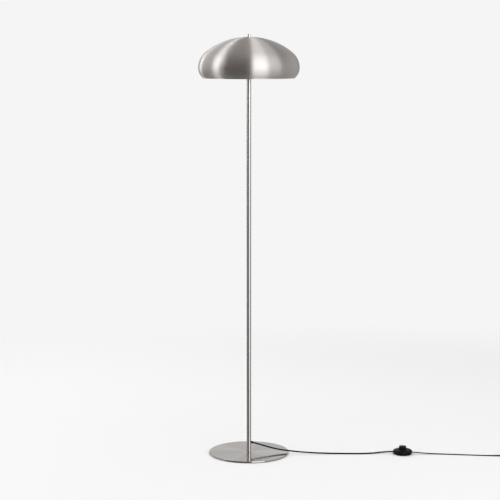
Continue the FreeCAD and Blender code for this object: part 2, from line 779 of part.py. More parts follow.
def switch_inner_pieces():
    """Clamps on the flex, brass terminals, contact leaf and screws."""
    holes = entry_holes()
    clamps = []
    terminals = []
    for way in (-1, 1):
        near, far = sorted((way * CLAMP_IN, way * CLAMP_OUT))
        clamp = block((near, -CLAMP_HALF_W, SW_WALL), (far, CLAMP_HALF_W, CLAMP_TOP_Z))
        clamps.append(clamp.cut(holes))
        near, far = sorted((way * TERMINAL_IN, way * TERMINAL_OUT))
        terminals.append(block((near, -TERMINAL_HALF_W, SW_WALL),
                               (far, TERMINAL_HALF_W, TERMINAL_TOP_Z)))
    pressed = SW_COLLAR_Z - BUTTON_GAP - BUTTON_FLANGE_T - BUTTON_TRAVEL
    leaf_top = pressed - LEAF_GAP
    leaf = block((LEAF_IN, -LEAF_HALF_W, leaf_top - LEAF_T), (TERMINAL_IN, LEAF_HALF_W, leaf_top))
    screws = []
    head_top = SCREW_SINK + SCREW_HEAD_T
    for place in screw_places():
        screw = rod(SCREW_HEAD_R, SCREW_SINK, head_top).fuse(rod(SCREW_R, head_top, head_top + SCREW_L))
        screw.translate(place)
        screws.append(screw.removeSplitter())
    return {
        "switch_cord_clamps": Part.makeCompound(clamps),
        "switch_terminals": Part.makeCompound(terminals),
        "switch_contact_leaf": leaf,
        "switch_screws": Part.makeCompound(screws),
    }


def switch_pieces():
    """Every piece of the foot switch, in its place on the flex."""
    pieces = {
        "switch_base": switch_base(),
        "switch_cover": switch_cover(),
        "switch_button": switch_button(),
        "switch_spring": switch_spring(),
    }
    pieces.update(switch_inner_pieces())
    return {name: in_switch(shape) for name, shape in pieces.items()}


# ---- flex, coil and plug -------------------------------------------------------------
def coil_station(turn):
    """Point and direction of the coiled flex: in below, up a layer, out above."""
    way_in = min(turn, LOWER_TURNS)
    way_out = max(turn - LOWER_TURNS, 0)
    radius = COIL_R - COIL_PITCH * (way_in - way_out)
    growth = 0.0
    if turn < LOWER_TURNS:
        growth = -COIL_PITCH
    elif turn > LOWER_TURNS:
        growth = COIL_PITCH
    # the climb takes the half turn about the place where the spiral reverses
    share = min(max((turn - LOWER_TURNS + 0.25) / 0.5, 0.0), 1.0)
    height = COIL_LOW_Z + COIL_PITCH * share * share * (3 - 2 * share)
    climb = COIL_PITCH * 6 * share * (1 - share) / 0.5
    angle = COIL_START + 360 * turn
    point = vec(COIL_X, COIL_Y, height) + heading(angle) * radius
    pull = heading(angle) * growth + heading(angle + 90) * (2 * pi * radius) + UP * climb
    return point, unit(pull)


def coil_stations():
    """Quarter turns of the coil, from first to last."""
    quarters = int(round(4 * (LOWER_TURNS + UPPER_TURNS)))
    return [coil_station(k / 4) for k in range(quarters + 1)]


def coil_gap(edges):
    """Least air between the coil and itself, from points 1 mm apart along its line."""
    points = []
    for edge in edges:
        points += edge.discretize(Number=max(3, int(edge.Length)))[:-1]
    reach = int(8 * FLAT_R)
    least = min((p - q).Length for i, p in enumerate(points) for q in points[i + reach:])
    return least - 2 * FLAT_R


def flex_pieces():
    """Lying flex on both sides of the switch, the tied coil and the tail to the plug."""
    entry = switch_point(-CLAMP_IN, SW_SEAM_Z)
    before_entry = switch_point(-CLAMP_IN - SWITCH_RUN, SW_SEAM_Z)
    bush_lead = EXIT_POINT + EXIT_LINE * BUSH_LEAD
    lamp_side = [EXIT_POINT, bush_lead] + [vec(*p) for p in LAMP_SIDE_ROUTE]
    lamp_side += [before_entry, entry]
    leave = switch_point(CLAMP_IN, SW_SEAM_Z)
    after = switch_point(CLAMP_IN + PLUG_ENTRY_RUN, SW_SEAM_Z)

    stations = coil_stations()
    straight = 2 * FLAT_R
    first, along = stations[0]
    last, onward = stations[-1]
    coil_mouth = first - along * straight
    lead = coil_mouth - along * COIL_LEAD
    plug_side = [leave, after] + [vec(*p) for p in PLUG_SIDE_ROUTE] + [lead, coil_mouth]

    coil, coil_edges = wound_tube(stations, FLAT_R, straight)
    report_tube("flex_coil", coil, coil_edges, FLAT_R)
    print(f"  least gap to itself {coil_gap(coil_edges):.2f} mm")

    coil_end = last + onward * straight
    tail_start = coil_end + onward * TAIL_STEP
    plug_way = heading(PLUG_HEADING)
    tail_end = tail_start + unit(onward + plug_way) * TAIL_STEP
    tail_end.z = PLUG_Z
    plug_mouth = tail_end + plug_way * TAIL_STEP
    tail = [coil_end, tail_start, tail_end, plug_mouth]
    pieces = {
        "flex_lamp_side": lying_tube("flex_lamp_side", lamp_side, EDGE_R),
        "flex_plug_side": lying_tube("flex_plug_side", plug_side, FLAT_R),
        "flex_coil": coil,
        "flex_tail": lying_tube("flex_tail", tail, FLAT_R),
    }
    return pieces, plug_mouth


def coil_tie():
    """Band round all turns of the coil on one side, flat on the floor."""
    inner_turn = COIL_R - COIL_PITCH * LOWER_TURNS
    clear = FLAT_R + SOFT_GAP
    near = inner_turn - clear - TIE_T
    far = COIL_R + clear + TIE_T
    top = COIL_LOW_Z + COIL_PITCH + clear + TIE_T
    band = block((near, -TIE_W / 2, 0), (far, TIE_W / 2, top))
    across = [e for e in band.Edges if abs(e.tangentAt(e.FirstParameter).y) > 0.9]
    band = band.makeFillet(TIE_ROUND, across)
    hollow = block((near + TIE_T, -TIE_W, TIE_T), (far - TIE_T, TIE_W, top - TIE_T))
    across = [e for e in hollow.Edges if abs(e.tangentAt(e.FirstParameter).y) > 0.9]
    hollow = hollow.makeFillet(TIE_ROUND - TIE_T, across)
    band = band.cut(hollow)
    band.rotate(vec(0, 0, 0), UP, TIE_ANGLE)
    band.translate(vec(COIL_X, COIL_Y, 0))
    return {"coil_tie": band}


def plug_relief():
    """Tapered sleeve with grooves between its ribs, upright, small end at z = 0."""
    step = RELIEF_L / (2 * RELIEF_RIBS + 1)
    outline = Outline(0, 0)
    outline.line(RELIEF_END_R, 0)

    def skin(z):
        """Radius of the taper at a height."""
        return RELIEF_END_R + (RELIEF_R - RELIEF_END_R) * z / RELIEF_L

    for k in range(RELIEF_RIBS):
        groove = (2 * k + 1) * step
        outline.line(skin(groove), groove)
        outline.line(skin(groove) - RELIEF_GROOVE, groove)
        outline.line(skin(groove + step) - RELIEF_GROOVE, groove + step)
        outline.line(skin(groove + step), groove + step)
    outline.line(RELIEF_R, RELIEF_L)
    outline.line(0, RELIEF_L)
    return outline.turned()


def plug_body():
    """Flat moulded body: narrow at the flex, widening to the pins' face."""
    back = RELIEF_L
    wide = back + PLUG_TAPER_L
    front = back + PLUG_L
    corners = [vec(-PLUG_BACK_W / 2, 0, back), vec(PLUG_BACK_W / 2, 0, back),
               vec(PLUG_W / 2, 0, wide), vec(PLUG_W / 2, 0, front),
               vec(-PLUG_W / 2, 0, front), vec(-PLUG_W / 2, 0, wide),
               vec(-PLUG_BACK_W / 2, 0, back)]
    corners = [c - vec(0, PLUG_Z, 0) for c in corners]
    body = Part.Face(Part.makePolygon(corners)).extrude(vec(0, 2 * PLUG_Z, 0))
    return body.makeFillet(PLUG_ROUND, body.Edges)


def plug_pin():
    """One pin and its insulating sleeve, upright, z = 0 at the plug's face."""
    sleeve_r = PIN_R - SLEEVE_STEP
    core = sleeve_r - SLEEVE_WALL
    round_z = PIN_L - PIN_R
    diagonal = PIN_R * sqrt(0.5)
    pin = (Outline(0, 0)
           .line(core, 0)
           .line(core, SLEEVE_L)
           .line(PIN_R, SLEEVE_L)
           .line(PIN_R, round_z)
           .arc(diagonal, round_z + diagonal, 0, PIN_L)
           .turned())
    return pin, tube(sleeve_r, core, 0, SLEEVE_L)


def plug_pieces(mouth):
    """The plug with its strain relief, lying flat where the flex ends."""
    pins = []
    sleeves = []
    for way in (-1, 1):
        pin, sleeve = plug_pin()
        place = vec(way * PIN_SPACING / 2, 0, RELIEF_L + PLUG_L)
        pin.translate(place)
        sleeve.translate(place)
        pins.append(pin)
        sleeves.append(sleeve)
    upright = {
        "plug_strain_relief": plug_relief(),
        "plug_body": plug_body(),
        "plug_pins": Part.makeCompound(pins),
        "plug_pin_sleeves": Part.makeCompound(sleeves),
    }
    pieces = {}
    for name, shape in upright.items():
        shape.rotate(vec(0, 0, 0), UP, 90)
        shape.rotate(vec(0, 0, 0), vec(0, 1, 0), 90)
        shape.rotate(vec(0, 0, 0), UP, PLUG_HEADING)
        shape.translate(mouth)
        pieces[name] = shape
    face = mouth + heading(PLUG_HEADING) * (RELIEF_L + PLUG_L + PIN_L - PIN_R)
    print(f"pins: centre {face.x:.3f} {face.y:.3f} {face.z:.3f}, heading {PLUG_HEADING}")
    return pieces


def main():
    """Build every piece and write one file for each."""
    os.makedirs("parts", exist_ok=True)
    pieces = {}
    pieces.update(base_pieces())
    pieces.update(pole_pieces())
    pieces.update(inner_flex())
    pieces.update(hub_pieces())
    pieces.update(lamp_cluster())
    pieces.update(shade_pieces())
    pieces.update(switch_pieces())
    flex, mouth = flex_pieces()
    pieces.update(flex)
    pieces.update(coil_tie())
    pieces.update(plug_pieces(mouth))
    for name, shape in pieces.items():
        sound = shape.isValid() and all(solid.isClosed() for solid in shape.Solids)
        if not sound or not shape.Solids:
            print(f"UNSOUND {name}: valid {shape.isValid()}, solids {len(shape.Solids)}")
        shape.exportStep(f"parts/{name}.step")
    print(f"{len(pieces)} nodes")


main()
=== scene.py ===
"""Mushroom floor lamp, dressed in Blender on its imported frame.

The sizes in the classes are millimetres, as on the drawing. A mesh is written in metres,
in the lamp's frame: +Z up, origin at the centre of the base on the floor, +X towards
the flex.
"""
import logging
from collections.abc import Callable
from dataclasses import dataclass, field
from enum import Enum
from math import asin, atan2, cos, degrees, pi, radians, sin, sqrt

import bpy
import numpy as np
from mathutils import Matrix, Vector


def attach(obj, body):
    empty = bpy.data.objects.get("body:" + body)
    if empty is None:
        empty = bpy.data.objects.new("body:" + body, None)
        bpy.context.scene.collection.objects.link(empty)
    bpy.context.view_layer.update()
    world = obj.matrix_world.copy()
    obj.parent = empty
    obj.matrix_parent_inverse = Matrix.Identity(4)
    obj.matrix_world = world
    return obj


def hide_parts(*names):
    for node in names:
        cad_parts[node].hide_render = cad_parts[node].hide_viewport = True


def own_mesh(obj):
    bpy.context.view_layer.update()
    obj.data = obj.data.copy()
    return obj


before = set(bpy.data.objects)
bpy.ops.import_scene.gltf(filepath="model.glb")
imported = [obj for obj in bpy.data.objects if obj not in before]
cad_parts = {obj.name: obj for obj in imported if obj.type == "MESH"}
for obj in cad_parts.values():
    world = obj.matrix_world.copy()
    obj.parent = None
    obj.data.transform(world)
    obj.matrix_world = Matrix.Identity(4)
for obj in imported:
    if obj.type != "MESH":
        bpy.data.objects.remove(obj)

MM = 0.001
log = logging.getLogger("lamp")


class Body(Enum):
    """What a piece moves with."""

    LAMP = "lamp"
    BUTTON = "button"


class Lay(Enum):
    """How the flat flex lies: its turn about its own line, in degrees."""

    FLAT = 0.0
    ON_EDGE = 90.0


# ---- shader maths ----------------------------------------------------------------------
class Wire:
    """The output of a shader node, for use in Python expressions."""

    def __init__(self, net: "Net", socket: bpy.types.NodeSocket) -> None:
        """Keep the node tree and the socket."""
        self.net = net
        self.socket = socket

    @property
    def is_vector(self) -> bool:
        """Whether it carries three numbers."""
        return self.socket.type in ("VECTOR", "RGBA")

    def _sum(self, operation: str, first, second) -> "Wire":
        """Join two values by a Math or Vector Math node.

        Args:
            operation: the node's operation.
            first: a wire or number.
            second: a wire or number.

        Returns:
            The node's output.
        """
        vectors = any(isinstance(v, Wire) and v.is_vector for v in (first, second))
        kind = "ShaderNodeVectorMath" if vectors else "ShaderNodeMath"
        return self.net.node(kind, {"operation": operation}, {0: first, 1: second})

    def __add__(self, other) -> "Wire":
        """self + other."""
        return self._sum("ADD", self, other)

    __radd__ = __add__

    def __sub__(self, other) -> "Wire":
        """self - other."""
        return self._sum("SUBTRACT", self, other)

    def __mul__(self, other) -> "Wire":
        """self * other, a vector times a number included."""
        if self.is_vector and not isinstance(other, Wire):
            return self.net.node("ShaderNodeVectorMath", {"operation": "SCALE"},
                                 {0: self, "Scale": other})
        return self._sum("MULTIPLY", self, other)

    def __truediv__(self, other) -> "Wire":
        """self / other."""
        return self._sum("DIVIDE", self, other)

    def __pow__(self, other) -> "Wire":
        """self to a power."""
        return self._sum("POWER", self, other)


class Net:
    """The node tree of one material or world."""

    def __init__(self, tree: bpy.types.NodeTree) -> None:
        """Start from an empty tree."""
        self.tree = tree
        tree.nodes.clear()

    def node(self, kind: str, settings: dict | None = None, values: dict | None = None,
             out: int | str = 0) -> Wire:
        """Add a node.

        Args:
            kind: the node's type.
            settings: its properties.
            values: a number, colour or wire for each socket, by name or place.
            out: the output that is used further on.

        Returns:
            That output.
        """
        made = self.tree.nodes.new(kind)
        for name, value in (settings or {}).items():
            setattr(made, name, value)
        for name, value in (values or {}).items():
            socket = made.inputs[name]
            if isinstance(value, Wire):
                self.tree.links.new(value.socket, socket)
            else:
                socket.default_value = value
        outputs = made.outputs
        return Wire(self, outputs[out]) if len(outputs) else Wire(self, made.inputs[0])

    def mix(self, share, first, second) -> Wire:
        """Blend two colours; share 0 is the first."""
        return self.node("ShaderNodeMix", {"data_type": "RGBA"}, {0: share, 6: first, 7: second}, 2)

    def noise(self, vector: Wire, scale: float, detail: float = 2.0, w: Wire | None = None) -> Wire:
        """Noise from 0 to 1, with a fourth coordinate if one is given."""
        values = {"Vector": vector, "Scale": scale, "Detail": detail}
        if w is not None:
            values["W"] = w
        sizes = {"noise_dimensions": "3D" if w is None else "4D"}
        return self.node("ShaderNodeTexNoise", sizes, values)

    def place(self) -> Wire:
        """The point in the lamp's frame, in metres."""
        return self.node("ShaderNodeTexCoord", out="Object")

    def bump(self, height: Wire, depth: float) -> Wire:
        """Normal of a surface raised by height times depth in metres."""
        return self.node("ShaderNodeBump", None, {"Height": height, "Distance": depth})

    def vector(self, x, y, z=0.0) -> Wire:
        """Three numbers as one vector."""
        return self.node("ShaderNodeCombineXYZ", None, {0: x, 1: y, 2: z})

    def part(self, vector: Wire, place: int) -> Wire:
        """One number of a vector: 0 is x, 1 is y and 2 is z."""
        return self.node("ShaderNodeSeparateXYZ", None, {0: vector}, place)

    def own(self, name: str, out: str = "Vector") -> Wire:
        """A mesh attribute of the piece's own."""
        return self.node("ShaderNodeAttribute", {"attribute_name": name}, out=out)


def tint(colour: tuple[float, float, float], factor: float) -> tuple[float, float, float, float]:
    """A colour made lighter or darker, with its alpha."""
    return (*(min(1.0, c * factor) for c in colour), 1.0)


def new_material(name: str, surface: Callable[[Net], Wire]) -> bpy.types.Material:
    """A material whose surface is what the given function makes in its node tree."""
    made = bpy.data.materials.new(name)
    made.use_nodes = True
    net = Net(made.node_tree)
    net.node("ShaderNodeOutputMaterial", None, {"Surface": surface(net)})
    return made


# ---- finishes --------------------------------------------------------------------------
@dataclass(frozen=True)
class Finish:
    """A material of the lamp, made once and shared."""

    name: str
    slot: str
    colour: tuple[float, float, float]
    roughness: float
    specular: float = 0.5

    def material(self) -> bpy.types.Material:
        """The Blender material, made at its first use."""
        if self not in FINISHED:
            FINISHED[self] = new_material(
                self.name, lambda net: net.node("ShaderNodeBsdfPrincipled", None, self.inputs(net)))
        return FINISHED[self]

    def inputs(self, net: Net) -> dict:
        """The shader's inputs."""
        raise NotImplementedError


# each finish and its material, once made
FINISHED: dict[Finish, bpy.types.Material] = {}


@dataclass(frozen=True)
class Spun(Finish):
    """Metal turned or brushed in rings about the lamp's axis."""

    anisotropy: float = 0.8
    rings: float = 5000.0
    groove: float = 0.6e-6
    uneven: float = 0.06
    contrast: float = 0.6
    # painted highlight: how strongly rays from the middle lighten and darken the colour, and how many there
    # are
    painted_sheen_rays: float = 0.0
    bands: float = 260.0
    sheen_ray_spokes: float = 1.6

    def inputs(self, net: Net) -> dict:
        """Fine rings in colour, gloss and relief: noise of (radius, height), nearly the same
        all the way round, with soft rays from the middle painted into the colour: painted highlight wedges
        such as a turned disc's sheen shows."""
        place = net.place()
        x, y, z = (net.part(place, k) for k in range(3))
        radius = (x * x + y * y) ** 0.5
        ring = net.vector(radius * self.rings, z * self.rings, x * 3.0)
        fine = net.noise(ring, 1.0, 1.0, w=y * 3.0)
        band = net.vector(radius * self.bands, z * self.bands, x * 2.0)
        broad = net.noise(band, 1.0, 2.0, w=y * 2.0)
        share = fine * 0.45 + broad * 0.55
        # painted highlight: soft rays from the middle lighten and darken the colour where a turned disc's
        # sheen falls
        rays = net.noise(net.vector(x / radius * self.sheen_ray_spokes, y / radius * self.sheen_ray_spokes), 1.0, 3.0)
        shade = (share - 0.5) * self.contrast + (rays - 0.5) * self.painted_sheen_rays + 0.5
        return {
            "Base Color": net.mix(shade, tint(self.colour, 0.7), tint(self.colour, 1.3)),
            "Metallic": 1.0,
            "Roughness": self.roughness + (share - 0.5) * self.uneven,
            "Anisotropic": self.anisotropy,
            "Anisotropic Rotation": 0.25,
            "Normal": net.bump(fine, self.groove),
        }


@dataclass(frozen=True)
class Cast(Finish):
    """Moulded, plated or painted stuff with a fine even grain."""

    metallic: float = 0.0
    grain: float = 900.0
    depth: float = 8e-6
    uneven: float = 0.12
    coat: float = 0.0
    cloud: float = 0.0

    def inputs(self, net: Net) -> dict:
        """Grain in relief and gloss, over slow cloudy patches in the colour."""
        place = net.place()
        fine = net.noise(place, self.grain, 3.0)
        slow = net.noise(place, self.grain * 0.06, 2.0)
        share = fine * 0.4 + slow * 0.6
        made = {
            "Base Color": net.mix(share, tint(self.colour, 1 - self.uneven),
                                  tint(self.colour, 1 + self.uneven)),
            "Metallic": self.metallic,
            "Specular IOR Level": self.specular,
            "Roughness": self.roughness + (slow - 0.5) * 0.16,
            "Coat Weight": self.coat,
            "Normal": net.bump(fine, self.depth),
        }
        if self.cloud:
            made["Subsurface Weight"] = self.cloud
            made["Subsurface Scale"] = 0.004
        return made


@dataclass(frozen=True)
class Sheath(Finish):
    """Extruded sheath of the flex: lines along it and a slow change of gloss."""

    lines: float = 9.0

    def inputs(self, net: Net) -> dict:
        """Reads the flex's own run attribute: metres along, place across from -1 to 1."""
        run = net.own("run")
        along, across = net.part(run, 0), net.part(run, 1)
        lines = net.noise(net.vector(along * 14.0, across * self.lines), 1.0, 3.0)
        scuff = net.noise(net.place(), 160.0, 4.0)
        return {
            "Base Color": net.mix(scuff, tint(self.colour, 0.75), tint(self.colour, 1.35)),
            "Specular IOR Level": self.specular,
            "Roughness": self.roughness + (lines - 0.5) * 0.22,
            "Normal": net.bump(lines, 0.00005),
        }


@dataclass(frozen=True)
class Woven(Finish):
    """Narrow woven band: two crossed waves of threads."""

    thread: float = 0.0007

    def inputs(self, net: Net) -> dict:
        """Reads the band's own run attribute: metres round it and across it."""
        run = net.own("run")
        waves = [net.node("ShaderNodeMath", {"operation": "SINE"},
                          {0: net.part(run, k) * (pi / self.thread)}) for k in range(2)]
        weave = waves[0] * waves[1] * 0.5 + 0.5
        return {
            "Base Color": net.mix(weave, tint(self.colour, 0.5), tint(self.colour, 1.6)),
            "Roughness": self.roughness + (weave - 0.5) * 0.1,
            "Normal": net.bump(weave, 0.0002),
        }


STEEL = Spun("spun_nickel", "brushed_metal", (0.56, 0.535, 0.515), 0.42, anisotropy=1.0, uneven=0.3)
POLE_STEEL = Spun("pole_steel", "brushed_metal", (0.56, 0.54, 0.525), 0.2, anisotropy=0.7, groove=0.0,
                  uneven=0.0, contrast=0.02)
# the base's rays are painted highlight wedges in its colour
BASE_STEEL = Spun("base_steel", "brushed_metal", (0.56, 0.53, 0.51), 0.12, anisotropy=0.5, groove=0.0,
                  uneven=0.03, contrast=0.4, painted_sheen_rays=1.3)
POLISHED = Spun("polished_nickel", "polished_metal", (0.74, 0.72, 0.7), 0.14, anisotropy=0.3,
                groove=0.3e-6, uneven=0.04)
HUB_PAINT = Cast("hub_paint", "hub_metal", (0.6, 0.59, 0.57), 0.42, metallic=0.6)
ZINC = Cast("zinc_plate", "zinc", (0.62, 0.62, 0.6), 0.36, metallic=1.0)
SPRING_STEEL = Cast("spring_wire", "spring_steel", (0.42, 0.42, 0.41), 0.3, metallic=1.0)
BRASS = Cast("plain_brass", "brass", (0.78, 0.62, 0.32), 0.32, metallic=1.0)
CAP_METAL = Cast("bulb_cap_metal", "cap_metal", (0.75, 0.74, 0.72), 0.3, metallic=1.0)
PIN_METAL = Cast("nickel_pin", "pin_metal", (0.74, 0.73, 0.7), 0.2, metallic=1.0, depth=2e-6)
OPAL = Cast("opal_bulb_glass", "opal_glass", (0.92, 0.91, 0.88), 0.22, grain=120.0, depth=1e-6,
            uneven=0.02, coat=0.3, cloud=0.35)
HOLDER_BLACK = Cast("holder_plastic", "black_plastic", (0.008, 0.0078, 0.0076), 0.42, specular=0.2)
SWITCH_BLACK = Cast("switch_black", "switch_plastic", (0.004, 0.004, 0.0042), 0.42, specular=0.09)
WHITE_PLASTIC = Cast("moulded_white", "white_plastic", (0.8, 0.79, 0.76), 0.45, uneven=0.05)
FLEX_BLACK = Sheath("flex_sheath", "flex", (0.004, 0.004, 0.004), 0.55, specular=0.05)
BAND = Woven("woven_band", "tie", (0.03, 0.03, 0.03), 0.8)
FOAM = Cast("pad_foam", "pad", (0.05, 0.05, 0.05), 0.9, grain=1500.0, depth=6e-5, uneven=0.3)


# ---- surfaces --------------------------------------------------------------------------
@dataclass
class Surface:
    """A closed skin: points in millimetres and faces as lists of point numbers."""

    points: np.ndarray
    faces: list[list[int]]
    run: np.ndarray | None = None

    def joined(self, other: "Surface") -> "Surface":
        """This skin and another as one mesh."""
        moved = [[k + len(self.points) for k in face] for face in other.faces]
        return Surface(np.vstack([self.points, other.points]), self.faces + moved)


@dataclass(frozen=True)
class Seat:
    """Where a turned piece sits: the foot of its axis, the axis, and a direction square to it."""

    origin: tuple[float, float, float] = (0.0, 0.0, 0.0)
    axis: tuple[float, float, float] = (0.0, 0.0, 1.0)
    side: tuple[float, float, float] = (1.0, 0.0, 0.0)

    def carry(self, points: np.ndarray) -> np.ndarray:
        """Put (x, y, z) points at origin + x side + y (axis x side) + z axis."""
        axis, side = np.array(self.axis), np.array(self.side)
        return np.array(self.origin) + points @ np.stack([side, np.cross(axis, side), axis])


class Profile:
    """Outline of a turned piece: rows of (radius, height)."""

    def __init__(self, radius: float, height: float) -> None:
        """Start at a point."""
        self.rows = [np.array([[radius, height]])]

    def to(self, radius: float, height: float) -> "Profile":
        """Straight to a point, with a row close to each end that keeps the shading flat."""
        start, end = self.rows[-1][-1], np.array([radius, height])
        length = np.hypot(*(end - start))
        shares = np.array([0.2 / length, 1 - 0.2 / length, 1.0] if length > 1.2 else [1.0])
        self.rows.append(start + shares[:, None] * (end - start))
        return self

    def sweep(self, centre: tuple[float, float], radius: float, first: float, last: float,
              step: float = 9.0) -> "Profile":
        """Round a centre, between angles from the vertical: (r + R sin a, z + R cos a)."""
        count = max(2, int(abs(last - first) / step) + 1)
        a = np.radians(np.linspace(first, last, count + 1))
        self.rows.append(np.stack([centre[0] + radius * np.sin(a), centre[1] + radius * np.cos(a)], 1))
        return self

    def points(self) -> np.ndarray:
        """All rows, without those that repeat the one before."""
        rows = np.vstack(self.rows)
        apart = np.hypot(*np.diff(rows, axis=0).T) > 1e-4
        return rows[np.concatenate([[True], apart])]


def turned(profile: Profile, seat: Seat = Seat(), around: int = 96, ring: bool = False) -> Surface:
    """Surface of revolution: (r cos a, r sin a, z) for each row of the outline and each angle a.

    Args:
        profile: the outline.
        seat: the axis that it turns about.
        around: number of angles.
        ring: the outline closes on itself round a bore; otherwise it starts and ends on the axis.

    Returns:
        The closed surface.
    """
    rows = profile.points()
    if ring and np.hypot(*(rows[0] - rows[-1])) < 1e-4:
        rows = rows[:-1]
    a = np.linspace(0, 2 * pi, around, endpoint=False)
    r, z = rows[:, :1], rows[:, 1:]
    points = np.stack([r * np.cos(a), r * np.sin(a), z + 0 * a], axis=-1).reshape(-1, 3)
    faces = grid_faces(len(rows), around, ring)
    # a row on the axis is one point
    number = np.arange(len(points)).reshape(len(rows), around)
    number[rows[:, 0] < 1e-6] = number[rows[:, 0] < 1e-6][:, :1]
    faces = number.reshape(-1)[faces]
    return Surface(seat.carry(points), tidy_faces(faces))


def grid_faces(rows: int, columns: int, ring: bool) -> np.ndarray:
    """Four corners of each cell of a grid that is closed across, and along too if ring."""
    i, j = np.meshgrid(np.arange(rows if ring else rows - 1), np.arange(columns), indexing="ij")
    below, beside = (i + 1) % rows, (j + 1) % columns
    cells = [i * columns + j, i * columns + beside, below * columns + beside, below * columns + j]
    return np.stack(cells, axis=-1).reshape(-1, 4)


def tidy_faces(faces: np.ndarray) -> list[list[int]]:
    """Faces without repeated corners: cells that touch the axis become triangles."""
    top = faces[:, 0] == faces[:, 1]
    foot = faces[:, 2] == faces[:, 3]
    whole = ~(top | foot)
    return (faces[whole].tolist() + faces[top & ~foot][:, [0, 2, 3]].tolist()
            + faces[foot & ~top][:, [0, 1, 2]].tolist())


def capped_faces(rows: int, columns: int) -> list[list[int]]:
    """Faces of a grid that is closed across, with one face over each end."""
    last = (rows - 1) * columns
    return grid_faces(rows, columns, False).tolist() + [
        list(range(columns - 1, -1, -1)), list(range(last, last + columns))]


def travelled(line: np.ndarray) -> np.ndarray:
    """Distance along a line to each of its points."""
    return np.concatenate([[0], np.cumsum(np.linalg.norm(np.diff(line, axis=0), axis=1))])


def add_object(name: str, data: bpy.types.ID) -> bpy.types.Object:
    """A new object in the scene, at the origin and unturned."""
    made = bpy.data.objects.new(name, data)
    bpy.context.scene.collection.objects.link(made)
    return made


def centreline(points: np.ndarray, resolution: int = 8) -> np.ndarray:
    """Points in metres along the smooth NURBS line of a route.

    Args:
        points: the route's control points, in millimetres.
        resolution: steps for each control point.

    Returns:
        An array of points, from the route's first to its last.
    """
    data = bpy.data.curves.new("route", "CURVE")
    data.dimensions = "3D"
    data.resolution_u = resolution
    spline = data.splines.new("NURBS")
    spline.points.add(len(points) - 1)
    spline.points.foreach_set("co", np.c_[points * MM, np.ones(len(points))].ravel())
    spline.order_u = 3
    spline.use_endpoint_u = True
    holder = add_object("route", data)
    mesh = bpy.data.meshes.new_from_object(holder.evaluated_get(bpy.context.evaluated_depsgraph_get()))
    line = np.empty(3 * len(mesh.vertices))
    mesh.vertices.foreach_get("co", line)
    bpy.data.objects.remove(holder)
    bpy.data.curves.remove(data)
    bpy.data.meshes.remove(mesh)
    return line.reshape(-1, 3)


def flat_flex(line: np.ndarray, turn: np.ndarray, width: float, thick: float) -> Surface:
    """Flat twin flex: an oblong section carried along a line.

    The section is two half circles of radius thick / 2, one at each end of its width. At
    each point of the line it stands square to the line, and its width is the level
    direction square to the line, turned about the line by the given angle.

    Args:
        line: the points, in millimetres.
        turn: the section's turn at each point, in degrees.
        width: the section's long side.
        thick: the section's short side.

    Returns:
        The closed surface, with a run attribute: metres along, place across from -1 to 1.
    """
    along = np.gradient(line, axis=0)
    along /= np.linalg.norm(along, axis=1)[:, None]
    level = np.cross((0.0, 0.0, 1.0), along)
    level /= np.linalg.norm(level, axis=1)[:, None]
    rise = np.cross(along, level)
    t = np.radians(turn)[:, None]
    wide = np.cos(t) * level + np.sin(t) * rise
    deep = np.cos(t) * rise - np.sin(t) * level
    half = thick / 2
    a = np.radians(np.linspace(-90, 90, 9))
    arc = np.stack([width / 2 - half + half * np.cos(a), half * np.sin(a)], 1)
    section = np.vstack([arc, -arc])
    points = (line[:, None] + section[None, :, :1] * wide[:, None] + section[None, :, 1:] * deep[:, None])
    run = np.zeros((len(line), len(section), 3))
    run[..., 0] = travelled(line)[:, None] * MM
    run[..., 1] = section[:, 0] / (width / 2)
    return Surface(points.reshape(-1, 3), capped_faces(len(line), len(section)), run.reshape(-1, 3))


def smooth_step(value: np.ndarray) -> np.ndarray:
    """0 below 0, 1 above 1, and 3 v^2 - 2 v^3 between them."""
    v = np.clip(value, 0, 1)
    return v * v * (3 - 2 * v)


def make_piece(name: str, surface: Surface, finish: Finish, body: Body = Body.LAMP,
               replaces: tuple[str, ...] = (), crease: float = 32.0) -> bpy.types.Object:
    """Write a surface into a mesh, dress it and seat it on its body.

    Args:
        name: the new piece's name.
        surface: the closed skin, in millimetres.
        finish: its material.
        body: what it moves with.
        replaces: the CAD nodes that it stands for.
        crease: edges sharper than this angle in degrees stay sharp.

    Returns:
        The new object.
    """
    used, faces = np.unique(np.concatenate([np.array(f) for f in surface.faces]), return_inverse=True)
    sizes = np.array([len(f) for f in surface.faces])
    faces = np.split(faces, np.cumsum(sizes)[:-1])
    mesh = bpy.data.meshes.new(name)
    mesh.from_pydata((surface.points[used] * MM).tolist(), [], [f.tolist() for f in faces])
    if surface.run is not None:
        mark = mesh.attributes.new("run", "FLOAT_VECTOR", "POINT")
        mark.data.foreach_set("vector", surface.run[used].ravel())
    if enclosed_volume(mesh) < 0:
        mesh.flip_normals()
    mesh.shade_smooth()
    mesh.set_sharp_from_angle(angle=radians(crease))
    mesh.materials.append(finish.material())
    piece = add_object(name, mesh)
    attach(piece, body.value)
    if replaces:
        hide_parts(*replaces)
    log.info("%s: %d points, finish %s", name, len(mesh.vertices), finish.name)
    return piece


def enclosed_volume(mesh: bpy.types.Mesh) -> float:
    """Signed volume of a closed mesh: the sum of a . (b x c) / 6 over its triangles."""
    mesh.calc_loop_triangles()
    corners = np.empty(3 * len(mesh.loop_triangles), dtype=np.int32)
    mesh.loop_triangles.foreach_get("vertices", corners)
    points = np.empty(3 * len(mesh.vertices))
    mesh.vertices.foreach_get("co", points)
    a, b, c = points.reshape(-1, 3)[corners.reshape(-1, 3)].transpose(1, 0, 2)
    return float(np.einsum("ij,ij->", a, np.cross(b, c)) / 6)


def dress(finish: Finish, *names: str) -> None:
    """Give CAD nodes that stay their material."""
    for name in names:
        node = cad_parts[name]
        if not node.data.materials:
            node.data.materials.append(finish.material())
        for place in node.material_slots:
            place.material = finish.material()
        log.info("%s: CAD node, finish %s", name, finish.name)


